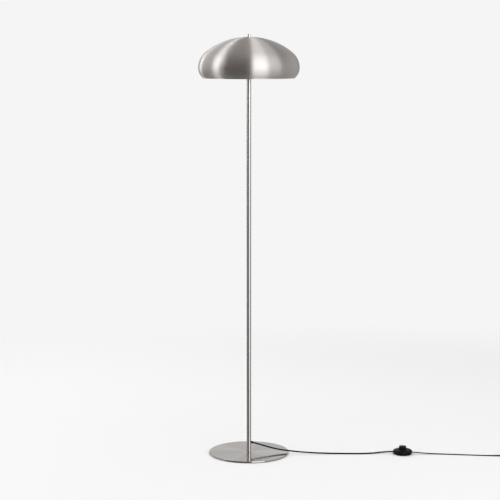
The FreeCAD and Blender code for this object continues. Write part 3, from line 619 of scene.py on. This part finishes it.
def cut_entry(piece: bpy.types.Object, line: np.ndarray, width: float, thick: float) -> None:
    """Cut the way for the flex through a shell, with a boolean that is applied at once."""
    hole = flat_flex(line, np.full(len(line), Lay.ON_EDGE.value), width, thick)
    mesh = bpy.data.meshes.new("entry")
    mesh.from_pydata((hole.points * MM).tolist(), [], hole.faces)
    if enclosed_volume(mesh) < 0:
        mesh.flip_normals()
    cutter = add_object("entry", mesh)
    step = piece.modifiers.new("entry", "BOOLEAN")
    step.operation, step.solver, step.object = "DIFFERENCE", "EXACT", cutter
    whole = piece.data
    piece.data = bpy.data.meshes.new_from_object(
        piece.evaluated_get(bpy.context.evaluated_depsgraph_get()))
    piece.modifiers.clear()
    piece.data.name = whole.name
    bpy.data.meshes.remove(whole)
    bpy.data.objects.remove(cutter)


# ---- base and pole ---------------------------------------------------------------------
@dataclass
class Base:
    """Round steel disc on its pad."""

    radius: float = 141.0
    pad: float = 1.5
    thickness: float = 5.0
    edge: float = 0.6
    hole: float = 4.2
    recess: float = 16.0
    ceiling: float = 4.1

    def build(self) -> None:
        """The disc with rounded edges; pad, washer and bolt stay CAD nodes."""
        top = self.pad + self.thickness
        rim = self.radius - self.edge
        disc = (Profile(self.hole, self.ceiling)
                .to(self.recess, self.ceiling)
                .to(self.recess, self.pad)
                .to(rim, self.pad)
                .sweep((rim, self.pad + self.edge), self.edge, 180, 90, 20)
                .sweep((rim, top - self.edge), self.edge, 90, 0, 20)
                .to(self.hole, top)
                .to(self.hole, self.ceiling))
        make_piece("base_disc", turned(disc, around=256, ring=True), BASE_STEEL, replaces=("base_plate",))
        dress(FOAM, "base_pad")
        dress(ZINC, "base_washer", "base_bolt")


@dataclass
class Pole:
    """Three tubes end to end, and the bush where the flex comes out."""

    radius: float = 8.0
    bore: float = 6.8
    foot: float = 6.5
    section: float = 446.0
    seam: float = 0.12
    exit_z: float = 42.0
    exit_drop: float = 15.0
    names: tuple[str, ...] = ("pole_lower", "pole_middle", "pole_upper")

    def build(self) -> None:
        """Tubes with softened ends, so that the joints are hairlines, and the bush."""
        s = self.seam
        for place, node in enumerate(self.names):
            low = self.foot + place * self.section
            high = low + self.section
            tube = (Profile(self.bore, low)
                    .to(self.radius - s, low)
                    .to(self.radius, low + s)
                    .to(self.radius, high - s)
                    .to(self.radius - s, high)
                    .to(self.bore, high)
                    .to(self.bore, low))
            make_piece(f"{node}_tube", turned(tube, around=64, ring=True), POLE_STEEL, replaces=(node,))
        drop = radians(self.exit_drop)
        seat = Seat((0.0, 0.0, self.exit_z), (cos(drop), 0.0, -sin(drop)), (0.0, 1.0, 0.0))
        bush = (Profile(2.7, 7.4)
                .to(4.6, 7.4)
                .to(4.6, 8.6)
                .to(3.9, 12.4)
                .sweep((2.9, 15.5), 0.5, 70, 0, 20)
                .to(2.7, 16.0)
                .to(2.7, 7.4))
        make_piece("flex_bush", turned(bush, seat, 48, ring=True), HOLDER_BLACK, replaces=("cord_bush",))
        dress(ZINC, "pole_coupler_1", "pole_coupler_2", "pole_foot_insert")
        dress(FLEX_BLACK, "flex_in_pole")


# ---- shade -----------------------------------------------------------------------------
@dataclass
class Shade:
    """Spun mushroom dome with its rolled rim, and the nut that holds it."""

    widest: float = 175.0
    wall: float = 1.0
    seat_z: float = 1466.5
    seat_r: float = 14.0
    hole: float = 5.2
    crown_turn: float = 28.5
    haunch: float = 208.0
    haunch_turn: float = 40.8
    cheek: float = 68.0
    lip: float = 45.0
    lip_turn: float = 48.0
    bead: float = 1.6

    @staticmethod
    def moved(centre: tuple[float, float], distance: float, angle: float) -> tuple[float, float]:
        """A point at a distance from a centre, at an angle from the vertical."""
        a = radians(angle)
        return centre[0] + distance * sin(a), centre[1] + distance * cos(a)

    def outline(self) -> Profile:
        """Crown, haunch, cheek and lip as arcs that run on, outside and inside the wall."""
        first, second = sin(radians(self.crown_turn)), sin(radians(self.haunch_turn))
        reach = self.haunch * (second - first) + self.cheek * (1 - second)
        crown_r = (self.widest - reach) / first
        seat_turn = degrees(asin(self.seat_r / crown_r))
        crown = (0.0, self.seat_z - crown_r * cos(radians(seat_turn)))
        haunch = self.moved(crown, crown_r - self.haunch, self.crown_turn)
        cheek = self.moved(haunch, self.haunch - self.cheek, self.haunch_turn)
        lip = (self.widest - self.lip, cheek[1])
        end = 90 + self.lip_turn
        arcs = [(crown, crown_r, seat_turn, self.crown_turn),
                (haunch, self.haunch, self.crown_turn, self.haunch_turn),
                (cheek, self.cheek, self.haunch_turn, 90.0),
                (lip, self.lip, 90.0, end)]
        skin = Profile(self.hole, self.seat_z).to(self.seat_r, self.seat_z)
        for centre, radius, start, stop in arcs:
            skin.sweep(centre, radius, start, stop, 1.6)
        # the rolled bead runs from the outer skin round to the inner one
        half = self.wall / 2
        back = sqrt(self.bead ** 2 - half ** 2)
        edge = self.moved(self.moved(lip, self.lip - half, end), back, end + 90)
        lead = degrees(atan2(back, half))
        skin.sweep(edge, self.bead, end - lead, end + 180 + lead, 18)
        for centre, radius, start, stop in reversed(arcs):
            skin.sweep(centre, radius - self.wall, stop, start, 1.6)
        return skin.to(self.hole, self.seat_z - self.wall).to(self.hole, self.seat_z)

    def build(self) -> None:
        """The dome, the washer and the polished cap nut on top."""
        make_piece("shade_spun", turned(self.outline(), around=288, ring=True), STEEL, replaces=("shade",))
        washer = (Profile(5.2, 1466.5).to(7.8, 1466.5).to(8.0, 1466.7).to(8.0, 1467.1)
                  .to(7.8, 1467.3).to(5.2, 1467.3).to(5.2, 1466.5))
        make_piece("top_washer", turned(washer, ring=True), POLISHED, replaces=("shade_washer_upper",))
        cap = (Profile(0.0, 1473.3).to(5.0, 1473.3).to(5.0, 1467.3).to(6.7, 1467.3).to(7.0, 1467.6)
               .to(7.0, 1475.4)
               .sweep((5.8, 1475.4), 1.2, 90, 0, 15)
               .to(0.0, 1476.6))
        make_piece("cap_nut", turned(cap), POLISHED, replaces=("finial",))
        dress(ZINC, "shade_rod", "shade_nut", "shade_washer_lower")


# ---- hub, lampholders and bulbs ----------------------------------------------------------
@dataclass
class Lampholder:
    """One lampholder with its bulb, to one side of the hub."""

    side: str
    way: float
    reach: float = 20.0
    height: float = 1357.5
    radius: float = 20.0
    wall: float = 2.0
    cap: float = 22.0
    skirt: float = 35.0
    mouth: float = 14.6
    globe: float = 22.5
    globe_centre: float = 87.5
    neck: float = 12.6
    cap_front: float = 58.0

    def build(self) -> None:
        """Moulded cap and ribbed skirt, and the bulb's opal globe."""
        seat = Seat((self.way * self.reach, 0.0, self.height), (self.way, 0.0, 0.0), (0.0, 0.0, 1.0))
        r, bore, end = self.radius, self.radius - self.wall, self.cap + self.skirt
        cap = (Profile(5.0, 0.0).to(r - 6, 0.0).sweep((r - 6, 6.0), 6.0, 180, 90, 12)
               .to(r, self.cap - 0.4).to(r - 0.4, self.cap).to(bore, self.cap)
               .to(bore, 6.0).to(r - 6, 4.0).to(8.0, 4.0).to(8.0, 11.0).to(5.0, 11.0).to(5.0, 0.0))
        make_piece(f"holder_cap_{self.side}", turned(cap, seat, ring=True), HOLDER_BLACK,
                   replaces=(f"lampholder_cap_{self.side}",))
        skirt = Profile(bore, self.cap).to(r - 0.4, self.cap).to(r, self.cap + 0.4)
        for start in np.arange(self.cap + 6, end - 8, 4.0):
            skirt.to(r, start).to(r - 0.5, start + 0.5).to(r - 0.5, start + 1.5).to(r, start + 2)
        (skirt.to(r, end - 2).sweep((r - 1.5, end - 1.5), 1.5, 90, 0, 20)
         .to(self.mouth, end).to(self.mouth, end - 2).to(bore, end - 2).to(bore, self.cap))
        make_piece(f"holder_skirt_{self.side}", turned(skirt, seat, ring=True), HOLDER_BLACK,
                   replaces=(f"lampholder_skirt_{self.side}",))
        join = 45.0
        joined = (self.globe * sin(radians(join)), self.globe_centre - self.globe * cos(radians(join)))
        # the neck is a smooth run from the cap's radius to the globe's slope
        share = np.linspace(0, 1, 12)
        neck = Profile(0.0, self.cap_front)
        neck.to(self.neck, self.cap_front)
        neck.rows.append(np.stack([self.neck + (joined[0] - self.neck) * share ** 1.7,
                                   self.cap_front + (joined[1] - self.cap_front) * share], 1))
        neck.sweep((0.0, self.globe_centre), self.globe, 180 - join, 0, 5)
        make_piece(f"bulb_glass_{self.side}", turned(neck, seat), OPAL,
                   replaces=(f"bulb_globe_{self.side}",), crease=50.0)
        dress(ZINC, f"lampholder_nipple_{self.side}")
        dress(WHITE_PLASTIC, f"lampholder_insulator_{self.side}")
        dress(BRASS, f"lampholder_screw_shell_{self.side}", f"lampholder_contact_{self.side}")
        dress(CAP_METAL, f"bulb_cap_{self.side}")


# ---- foot switch -------------------------------------------------------------------------
@dataclass
class FootSwitch:
    """Round foot switch in the flex."""

    x: float = 545.0
    y: float = -12.0
    yaw: float = -6.0
    foot: float = 31.0
    rim: float = 34.5
    seam: float = 7.2
    lip: float = 1.0
    shoulder: float = 7.6
    top: float = 18.0
    wall: float = 2.0
    button: float = 13.0
    gap: float = 0.3
    button_top: float = 28.5
    flange: float = 15.5
    flange_low: float = 9.7
    flange_top: float = 11.7
    stem: float = 3.5
    stem_low: float = 6.0
    boss: float = 5.6
    boss_bore: float = 3.8
    boss_top: float = 9.0
    collar_low: float = 12.0
    entry: tuple[float, float, float] = (26.0, 30.0, 37.0)
    entry_width: float = 5.6
    lamp_entry: float = 3.6
    plug_entry: float = 5.6
    travel: float = 3.5
    spring_r: float = 7.6
    wire: float = 0.6
    turns: int = 7
    sliver: float = 0.02
    inner_nodes: tuple[str, ...] = ("switch_cord_clamps", "switch_terminals", "switch_contact_leaf",
                                    "switch_screws")

    @property
    def heading(self) -> np.ndarray:
        """Level direction of the flex through the switch."""
        return np.array([cos(radians(self.yaw)), sin(radians(self.yaw)), 0.0])

    def build(self) -> list[bpy.types.Object]:
        """Dish, domed cover and button.

        Returns:
            The new pieces.
        """
        seat = Seat((self.x, self.y, 0.0), side=tuple(self.heading))
        w, seam = self.wall, self.seam
        dish = (Profile(0.0, 0.0).to(self.foot - 0.5, 0.0).to(self.foot, 0.3)
                .to(self.rim - 0.3, seam - 0.4).to(self.rim - 0.6, seam)
                .to(self.rim - w, seam).to(self.foot - w, w).to(self.boss, w)
                .to(self.boss, self.boss_top).to(self.boss_bore, self.boss_top)
                .to(self.boss_bore, w).to(0.0, w))
        base_z = seam + self.lip
        centre = (self.rim - self.shoulder, base_z)
        hole = self.button + self.gap
        collar = hole + 1.6
        slope = (self.top - base_z - self.shoulder) / (centre[0] - collar)
        ceiling = base_z + self.shoulder - w
        cover = (Profile(self.rim - w, seam).to(self.rim - 0.3, seam).to(self.rim, seam + 0.3)
                 .to(self.rim, base_z)
                 .sweep(centre, self.shoulder, 90, 0, 7.5)
                 .to(collar, self.top - 0.2)
                 .sweep((collar - 0.5, self.top - 0.5), 0.5, 60, 0, 20)
                 .to(hole, self.top)
                 .to(hole, self.collar_low).to(collar, self.collar_low)
                 .to(collar, ceiling + slope * (centre[0] - collar))
                 .to(centre[0], ceiling)
                 .sweep(centre, self.shoulder - w, 0, 90, 9)
                 .to(self.rim - w, seam))
        top, under, inside = self.button_top, self.button_top - w, self.button - w
        cap = (Profile(0.0, self.stem_low).to(self.stem, self.stem_low)
               .to(self.stem, under).to(inside, under).to(inside, self.flange_low)
               .to(self.flange, self.flange_low).to(self.flange, self.flange_top)
               .to(self.button, self.flange_top).to(self.button, under)
               .sweep((inside, under), w, 90, 8, 10)
               .to(self.button - 5, top).to(0.0, top))
        pieces = [
            make_piece("switch_dish", turned(dish, seat, 128), SWITCH_BLACK, replaces=("switch_base",)),
            make_piece("switch_dome", turned(cover, seat, 128, ring=True), SWITCH_BLACK,
                       replaces=("switch_cover",)),
            make_piece("switch_push", turned(cap, seat, 96), SWITCH_BLACK, Body.BUTTON,
                       replaces=("switch_button",)),
        ]
        for way in (-1.0, 1.0):
            ends = way * np.array(self.entry)
            line = np.array([self.x, self.y, seam]) + ends[:, None] * self.heading
            for shell in pieces[:2]:
                cut_entry(shell, line, self.entry_width, self.lamp_entry if way < 0 else self.plug_entry)
        dress(SWITCH_BLACK, "switch_cord_clamps")
        dress(BRASS, "switch_terminals", "switch_contact_leaf")
        dress(ZINC, "switch_screws")
        coil = make_piece("return_spring", self.spring(seat), SPRING_STEEL, replaces=("switch_spring",))
        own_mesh(coil)
        return pieces + [coil]

    def spring(self, seat: Seat) -> Surface:
        """Compression spring from the dish to the button: (R cos a, R sin a, z), z rising evenly with a."""
        a = np.linspace(0, 2 * pi * self.turns, 32 * self.turns + 1)
        z = np.linspace(self.wall + self.wire, self.button_top - self.wall - self.wire, len(a))
        line = seat.carry(np.stack([self.spring_r * np.cos(a), self.spring_r * np.sin(a), z], 1))
        flat = np.full(len(a), Lay.FLAT.value)
        # a round wire is a flat section whose long side is just the longer
        return flat_flex(line, flat, 2 * self.wire + self.sliver, 2 * self.wire)


# ---- plug and tie ------------------------------------------------------------------------
@dataclass
class Plug:
    """Flat two-pin plug with its strain relief, lying flat where the flex ends."""

    mouth: tuple[float, float, float] = (975.013, 11.715, 7.0)
    heading: float = 84.0
    relief: float = 25.0
    length: float = 36.0
    back: float = 15.0
    width: float = 35.5
    taper: float = 20.0
    half_thick: float = 7.0
    pin_r: float = 2.0
    pin: float = 19.0
    sleeve: float = 10.0
    spacing: float = 18.6
    square: float = 0.36
    grip_deep: float = 0.9
    grip_at: float = 20.0
    grip_long: float = 7.0
    grip_wide: float = 9.0

    def seat(self, offset: float = 0.0) -> Seat:
        """The plug's axis, or a line beside it."""
        a = radians(self.heading)
        way, side = (cos(a), sin(a), 0.0), (sin(a), -cos(a), 0.0)
        return Seat(tuple(m + offset * s for m, s in zip(self.mouth, side)), way, side)

    def body_skin(self) -> Surface:
        """Moulded body: at each place along it, the superellipse (w c, h s), where c and s are
        signed powers of cosine and sine, its half sides drawn in near both ends."""
        along = np.array([0, .3, 1.0, 2.0, 4, 8, 12, 16, 19, 21, 24, 28, 31, 33, 34, 35.0, 35.7, 36])
        spread = smooth_step(along / (self.taper + 4.0) * 0.94 + 0.03)
        half_w = (self.back + (self.width - self.back) * spread) / 2
        ends = np.minimum(along, self.length - along)
        draw = 2.0 - np.sqrt(np.clip(4.0 - (2.0 - np.minimum(ends, 2.0)) ** 2, 0, 4))
        a = np.linspace(0, 2 * pi, 48, endpoint=False)
        c = np.sign(np.cos(a)) * np.abs(np.cos(a)) ** self.square
        s = np.sign(np.sin(a)) * np.abs(np.sin(a)) ** self.square
        # shallow finger grip on the flat faces
        grip = self.grip_deep * np.exp(-((along - self.grip_at) / self.grip_long) ** 2)
        x = (half_w - draw)[:, None] * c
        dent = grip[:, None] * np.sign(s) * np.exp(-(x / self.grip_wide) ** 2) * np.abs(s) ** 3
        y = (self.half_thick - draw)[:, None] * s - dent
        z = np.repeat((self.relief + along)[:, None], len(a), axis=1)
        points = np.stack([x, y, z], -1).reshape(-1, 3)
        return Surface(self.seat().carry(points), capped_faces(len(along), len(a)))

    def build(self) -> list[bpy.types.Object]:
        """Relief, body, pins and sleeves.

        Returns:
            The new pieces.
        """
        sleeve = Profile(0.0, 0.0).to(3.2, 0.0)
        step = self.relief / 11
        for k in range(5):
            low = (2 * k + 1) * step
            skin = 3.2 + 2.0 * low / self.relief
            (sleeve.to(skin, low - 0.2).to(skin - 0.3, low).to(skin - 0.8, low + 0.2)
             .to(skin - 0.6, low + step - 0.2).to(skin + 0.1, low + step).to(skin + 0.3, low + step + 0.2))
        sleeve.to(5.2, self.relief).to(0.0, self.relief + 0.4)
        face = self.relief + self.length
        metal, cover = None, None
        for way in (-0.5, 0.5):
            seat = self.seat(way * self.spacing)
            bare, tip = face + self.sleeve, face + self.pin - self.pin_r
            core = (Profile(0.0, face).to(1.3, face).to(1.3, bare).to(self.pin_r, bare)
                    .to(self.pin_r, tip)
                    .sweep((0.0, tip), self.pin_r, 90, 0, 15))
            jacket = Profile(1.3, face).to(1.7, face).to(1.7, bare).to(1.3, bare).to(1.3, face)
            pin, wrap = turned(core, seat, 32), turned(jacket, seat, 32, ring=True)
            metal = pin if metal is None else metal.joined(pin)
            cover = wrap if cover is None else cover.joined(wrap)
        return [
            make_piece("plug_relief", turned(sleeve, self.seat(), 64), HOLDER_BLACK,
                       replaces=("plug_strain_relief",), crease=50.0),
            make_piece("plug_moulding", self.body_skin(), HOLDER_BLACK,
                       replaces=("plug_body",), crease=50.0),
            make_piece("plug_pin_pair", metal, PIN_METAL, replaces=("plug_pins",)),
            make_piece("plug_sleeve_pair", cover, HOLDER_BLACK, replaces=("plug_pin_sleeves",)),
        ]


@dataclass
class Tie:
    """Woven band round all turns of the coil on one side."""

    near: float = 17.2
    far: float = 39.0
    top: float = 12.8
    width: float = 8.0
    thick: float = 0.8
    corner: float = 2.0
    angle: float = 120.0

    def build(self, coil: "Flex") -> bpy.types.Object:
        """A rounded oblong loop, its wall between an outer and an inner line.

        Args:
            coil: the flex whose coil it holds.

        Returns:
            The new piece.
        """
        a = np.radians(np.arange(0, 360, 9.0) + 4.5)
        middle = np.array([(self.near + self.far) / 2, self.top / 2])
        square = np.sign(np.stack([np.cos(a), np.sin(a)], 1))
        rings, runs = [], []
        for inset, side in ((0.0, -1), (0.0, 1), (self.thick, 1), (self.thick, -1)):
            half = np.array([(self.far - self.near) / 2, self.top / 2]) - inset
            r = self.corner - inset
            loop = middle + square * (half - r) + r * np.stack([np.cos(a), np.sin(a)], 1)
            rings.append(np.stack([loop[:, 0], np.full(len(a), side * self.width / 2), loop[:, 1]], 1))
            length = travelled(loop) * MM
            runs.append(np.stack([length, np.full(len(a), side * self.width / 2 * MM), 0 * a], 1))
        t = radians(self.angle)
        seat = Seat((coil.coil_x, coil.coil_y, 0.0), side=(cos(t), sin(t), 0.0))
        skin = Surface(seat.carry(np.vstack(rings)), grid_faces(4, len(a), True).tolist(), np.vstack(runs))
        return make_piece("coil_band", skin, BAND, replaces=("coil_tie",))


# ---- flex --------------------------------------------------------------------------------
@dataclass
class Flex:
    """Flat twin flex: pole to foot switch, and foot switch to plug through a tied coil."""

    width: float = 5.2
    thick: float = 3.2
    lamp_length: float = 0.510
    plug_length: float = 1.482
    coil_x: float = 936.0
    coil_y: float = -17.0
    coil_start: float = -98.7
    coil_r: float = 35.7
    coil_pitch: float = 4.8
    coil_z: float = 3.6
    layer: float = 5.4
    lower_turns: float = 3.25
    turns: float = 6.25
    rise_at: float = 270.0
    rise_over: float = 70.0
    settle_before: float = 36.0
    settle_over: float = 32.0
    lamp_route: list[tuple[float, float, float]] = field(default_factory=lambda: [
        (15.455, 0.0, 37.859), (35.739, 0.0, 32.424), (68.0, -8.0, 24.6), (104.0, -14.5, 17.2),
        (144.0, -16.5, 12.2), (190.0, -17.0, 7.6), (240.0, -16.0, 4.2), (296.0, -16.5, 2.8),
        (356.0, -18.8, 2.65), (412.0, -18.0, 2.7), (440.0, -13.6, 3.1), (472.0, -9.2, 5.4),
        (501.241, -7.401, 7.2), (520.137, -9.387, 7.2)])
    plug_route: list[tuple[float, float, float]] = field(default_factory=lambda: [
        (569.863, -14.613, 7.2), (588.759, -16.599, 7.2), (606.0, -17.8, 5.2), (640.0, -18.6, 3.0),
        (684.0, -21.0, 1.75), (738.0, -28.0, 1.65), (795.0, -36.0, 1.65), (852.0, -43.4, 1.75),
        (901.549, -48.478, 3.3)])
    tail_route: list[tuple[float, float, float]] = field(default_factory=lambda: [
        (972.579, -8.134, 8.6), (973.968, 1.769, 7.0), (975.013, 11.715, 7.0)])

    def coil_route(self) -> np.ndarray:
        """In below, up a layer, out above: the radius shrinks by the pitch each turn to the
        end of the lower turns and grows again after it, and the height steps up round there."""
        t = np.arange(0, self.turns + 1e-6, 1 / 14)
        inward = np.minimum(t, self.lower_turns) - np.maximum(t - self.lower_turns, 0)
        radius = self.coil_r - self.coil_pitch * inward
        a = np.radians(self.coil_start + 360 * t)
        z = self.coil_z + self.layer * smooth_step((t - self.lower_turns + 0.25) / 0.5)
        return np.stack([self.coil_x + radius * np.cos(a), self.coil_y + radius * np.sin(a), z], 1)

    def build(self, on_lamp_side: list, on_plug_side: list) -> None:
        """Both lengths of flex, as pieces.

        Args:
            on_lamp_side: the pieces at the end of the first length; not used.
            on_plug_side: the pieces on the second length; not used.
        """
        line = centreline(np.array(self.lamp_route))
        turn = np.full(len(line), Lay.ON_EDGE.value)
        first = make_piece("flex_to_switch", flat_flex(line / MM, turn, self.width, self.thick),
                           FLEX_BLACK, replaces=("flex_lamp_side",), crease=60.0)
        route = np.vstack([self.plug_route, self.coil_route(), self.tail_route])
        line = centreline(route)
        reach = travelled(line) / MM
        # flat on the floor, on edge in the coil, flat again at the plug
        turn = Lay.ON_EDGE.value * (
            smooth_step((reach - self.rise_at) / self.rise_over)
            - smooth_step((reach - reach[-1] + self.settle_before) / self.settle_over))
        second = make_piece("flex_to_plug", flat_flex(line / MM, turn, self.width, self.thick),
                            FLEX_BLACK, replaces=("flex_plug_side", "flex_coil", "flex_tail"), crease=60.0)


# ---- studio ------------------------------------------------------------------------------
@dataclass(frozen=True)
class Softbox:
    """A soft light for what isn't metal, aimed at the middle of the pole."""

    name: str
    azimuth: float
    distance: float
    height: float
    wide: float
    tall: float
    power: float
    target: float = 0.7

    def build(self) -> None:
        """An area light at an azimuth from the camera's side, towards +X."""
        data = bpy.data.lights.new(self.name, "AREA")
        data.shape, data.size, data.size_y, data.energy = "RECTANGLE", self.wide, self.tall, self.power
        light = add_object(self.name, data)
        a = radians(self.azimuth)
        light.location = (self.distance * sin(a), -self.distance * cos(a), self.height)
        aim = Vector((0.0, 0.0, self.target)) - light.location
        light.rotation_euler = aim.to_track_quat("-Z", "Y").to_euler()
        light.visible_camera = light.visible_glossy = False
        log.info("%s: light at %.0f degrees", self.name, self.azimuth)


@dataclass(frozen=True)
class Panel:
    """A screen that only reflections show, to shape the metal: brightness by height."""

    name: str
    first: float
    last: float
    levels: tuple[tuple[float, float], ...]
    colour: tuple[float, float, float] = (1.0, 1.0, 1.0)
    distance: float = 3.4
    columns: int = 13

    def build(self) -> None:
        """Part of an upright cylinder round the lamp: (d sin a, -d cos a, z)."""
        a = np.radians(np.linspace(self.first, self.last, self.columns))
        x, y = self.distance * np.sin(a), -self.distance * np.cos(a)
        points = np.vstack([np.stack([x, y, 0 * a + height], 1) for height, _ in self.levels])
        mesh = bpy.data.meshes.new(self.name)
        mesh.from_pydata(points.tolist(), [],
                         grid_faces(len(self.levels), self.columns, False).tolist())
        glow = mesh.attributes.new("glow", "FLOAT", "POINT")
        glow.data.foreach_set("value", np.repeat([level for _, level in self.levels], self.columns))
        mesh.materials.append(new_material(self.name, self.shine))
        panel = add_object(self.name, mesh)
        panel.visible_camera = panel.visible_diffuse = panel.visible_shadow = False
        panel.visible_transmission = False
        log.info("%s: panel from %.0f to %.0f degrees", self.name, self.first, self.last)

    def shine(self, net: Net) -> Wire:
        """Light of the panel's colour, as strong as its glow attribute says."""
        seen = net.node("ShaderNodeVectorMath", {"operation": "SCALE"},
                        {0: self.colour, "Scale": net.own("glow", "Fac")})
        return net.node("ShaderNodeEmission", None, {"Color": seen, "Strength": 1.0})


@dataclass
class Studio:
    """Pale floor and backdrop, soft lights, the metal's panels and the camera."""

    pale: float = 0.913
    fill: float = 0.8
    floor_radius: float = 30.0
    near: float = 1.5
    fade: float = 1.2
    middle: tuple[float, float, float] = (0.4, 0.0, 0.0)
    lens: float = 112.7
    sensor: float = 36.0
    eye: tuple[float, float, float] = (0.0037, -5.425, 1.4448)
    pitch: float = 7.527
    softboxes: tuple[Softbox, ...] = (
        Softbox("right_front_box", 28.0, 3.0, 1.7, 1.75, 2.6, 15.0),
        Softbox("left_box", -78.0, 3.0, 1.7, 1.0, 2.6, 9.0),
        Softbox("back_left_box", -140.0, 3.0, 1.7, 0.9, 2.6, 9.0),
        Softbox("top_box", 0.0, 0.0, 3.6, 2.4, 2.4, 18.0),
    )
    panels: tuple[Panel, ...] = (
        Panel("front_left_dark", -71.0, 8.0,
              ((-20, 0.2), (-0.6, 0.14), (0.1, 0.27), (0.95, 0.27), (1.4, 0.08), (3.2, 0.11), (4.4, 0.58),
               (30, 0.55)), (1.0, 0.92, 0.88)),
        Panel("front_right_bright", 8.0, 45.0,
              ((-20, 0.34), (-2, 0.5), (-0.6, 1.6), (0.95, 1.9), (1.5, 3.2), (3, 3.8), (5, 3.2), (6, 0.4),
               (30, 0.34))),
        Panel("right_soft", 45.0, 79.0,
              ((-20, 0.38), (-3, 0.5), (0.5, 0.5), (0.95, 0.6), (1.6, 1.8), (3.5, 2.1), (5, 1.0), (6, 0.48),
               (30, 0.42))),
        Panel("right_grey", 79.0, 142.0,
              ((-20, 0.18), (-3, 0.28), (0, 0.5), (2, 0.74), (4, 0.34), (30, 0.36))),
        Panel("right_back_grey", 142.0, 164.0, ((-20, 0.3), (0, 0.5), (4, 0.42), (30, 0.4))),
        Panel("back_grey", 164.0, 200.0, ((-20, 0.66), (4, 0.68), (8, 0.5), (30, 0.45))),
        Panel("back_left_grey", -160.0, -146.0,
              ((-20, 0.6), (-0.6, 0.15), (0.95, 0.15), (1.4, 0.75), (4, 0.7), (30, 0.45))),
        Panel("back_left_bright", -146.0, -136.0,
              ((-20, 1.0), (-1, 1.0), (-0.5, 0.5), (0.95, 0.5), (1.4, 3.4), (2.4, 3.4), (3.2, 0.9),
               (5, 0.55), (30, 0.45))),
        Panel("left_grey", -136.0, -90.0,
              ((-20, 0.78), (-1.2, 0.78), (-0.5, 0.12), (0.95, 0.12), (1.5, 1.15), (4, 0.7), (30, 0.45))),
        Panel("left_bright", -90.0, -71.0,
              ((-20, 0.1), (-3, 0.16), (-0.6, 0.4), (0.95, 0.5), (1.5, 2.6), (3, 5.0), (5, 5.0), (6.2, 0.7),
               (30, 0.5))),
    )

    def build(self) -> None:
        """All of it."""
        self.build_floor()
        self.build_world()
        for item in (*self.softboxes, *self.panels):
            item.build()
        self.build_camera()

    def build_floor(self) -> None:
        """A disc that takes light and shadow near the lamp and is evenly pale farther out."""
        a = np.linspace(0, 2 * pi, 96, endpoint=False)
        rim = np.stack([self.floor_radius * np.cos(a), self.floor_radius * np.sin(a), 0 * a], 1)
        mesh = bpy.data.meshes.new("floor")
        mesh.from_pydata(rim.tolist(), [], [list(range(len(a)))])
        mesh.materials.append(new_material("pale_floor", self.paper))
        floor = add_object("floor", mesh)
        floor.visible_glossy = False

    def paper(self, net: Net) -> Wire:
        """Matt paper near the lamp that turns into an even glow farther out."""
        out = net.node("ShaderNodeVectorMath", {"operation": "LENGTH"},
                       {0: net.place() - self.middle}, "Value")
        far = net.node("ShaderNodeMapRange", {"interpolation_type": "SMOOTHSTEP"},
                       {0: out, 1: self.near, 2: self.near + self.fade})
        near = net.node("ShaderNodeBsdfDiffuse", None, {"Color": tint((self.pale,) * 3, 1.0)})
        glow = net.node("ShaderNodeEmission", None, {"Color": tint((self.pale,) * 3, 1.0)})
        return net.node("ShaderNodeMixShader", None, {0: far, 1: near, 2: glow})

    def build_world(self) -> None:
        """Even fill light; camera, mirror and glass rays see the pale backdrop."""
        world = bpy.data.worlds.new("backdrop")
        bpy.context.scene.world = world
        world.use_nodes = True
        net = Net(world.node_tree)
        rays = [net.node("ShaderNodeLightPath", out=name)
                for name in ("Is Camera Ray", "Is Glossy Ray", "Is Transmission Ray")]
        seen = rays[0] + rays[1] + rays[2]
        colour = net.mix(seen, tint((self.fill,) * 3, 1.0), tint((self.pale,) * 3, 1.0))
        sky = net.node("ShaderNodeBackground", None, {"Color": colour, "Strength": 1.0})
        net.node("ShaderNodeOutputWorld", None, {"Surface": sky})

    def build_camera(self) -> None:
        """The photograph's view: a long lens, level with the shade and pitched down."""
        data = bpy.data.cameras.new("camera")
        data.lens, data.sensor_width = self.lens, self.sensor
        camera = add_object("camera", data)
        camera.location = self.eye
        camera.rotation_euler = (radians(90 - self.pitch), 0.0, 0.0)
        bpy.context.scene.camera = camera


# ---- assembly ----------------------------------------------------------------------------
def main() -> None:
    """Dress the lamp from the floor up, then light it."""
    logging.basicConfig(level=logging.INFO, format="%(message)s")
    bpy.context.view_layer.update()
    Base().build()
    Pole().build()
    dress(HUB_PAINT, "hub_body", "hub_cover")
    dress(WHITE_PLASTIC, "hub_terminal_block")
    for side, way in (("right", 1.0), ("left", -1.0)):
        Lampholder(side, way).build()
    Shade().build()
    switch = FootSwitch()
    switch_pieces = switch.build()
    flex = Flex()
    plug_pieces = Plug().build()
    band = Tie().build(flex)
    flex.build([*switch_pieces, *switch.inner_nodes], [band, *plug_pieces])
    Studio().build()
    scene = bpy.context.scene
    scene.view_settings.view_transform = "Standard"


if __name__ == "__main__":
    main()
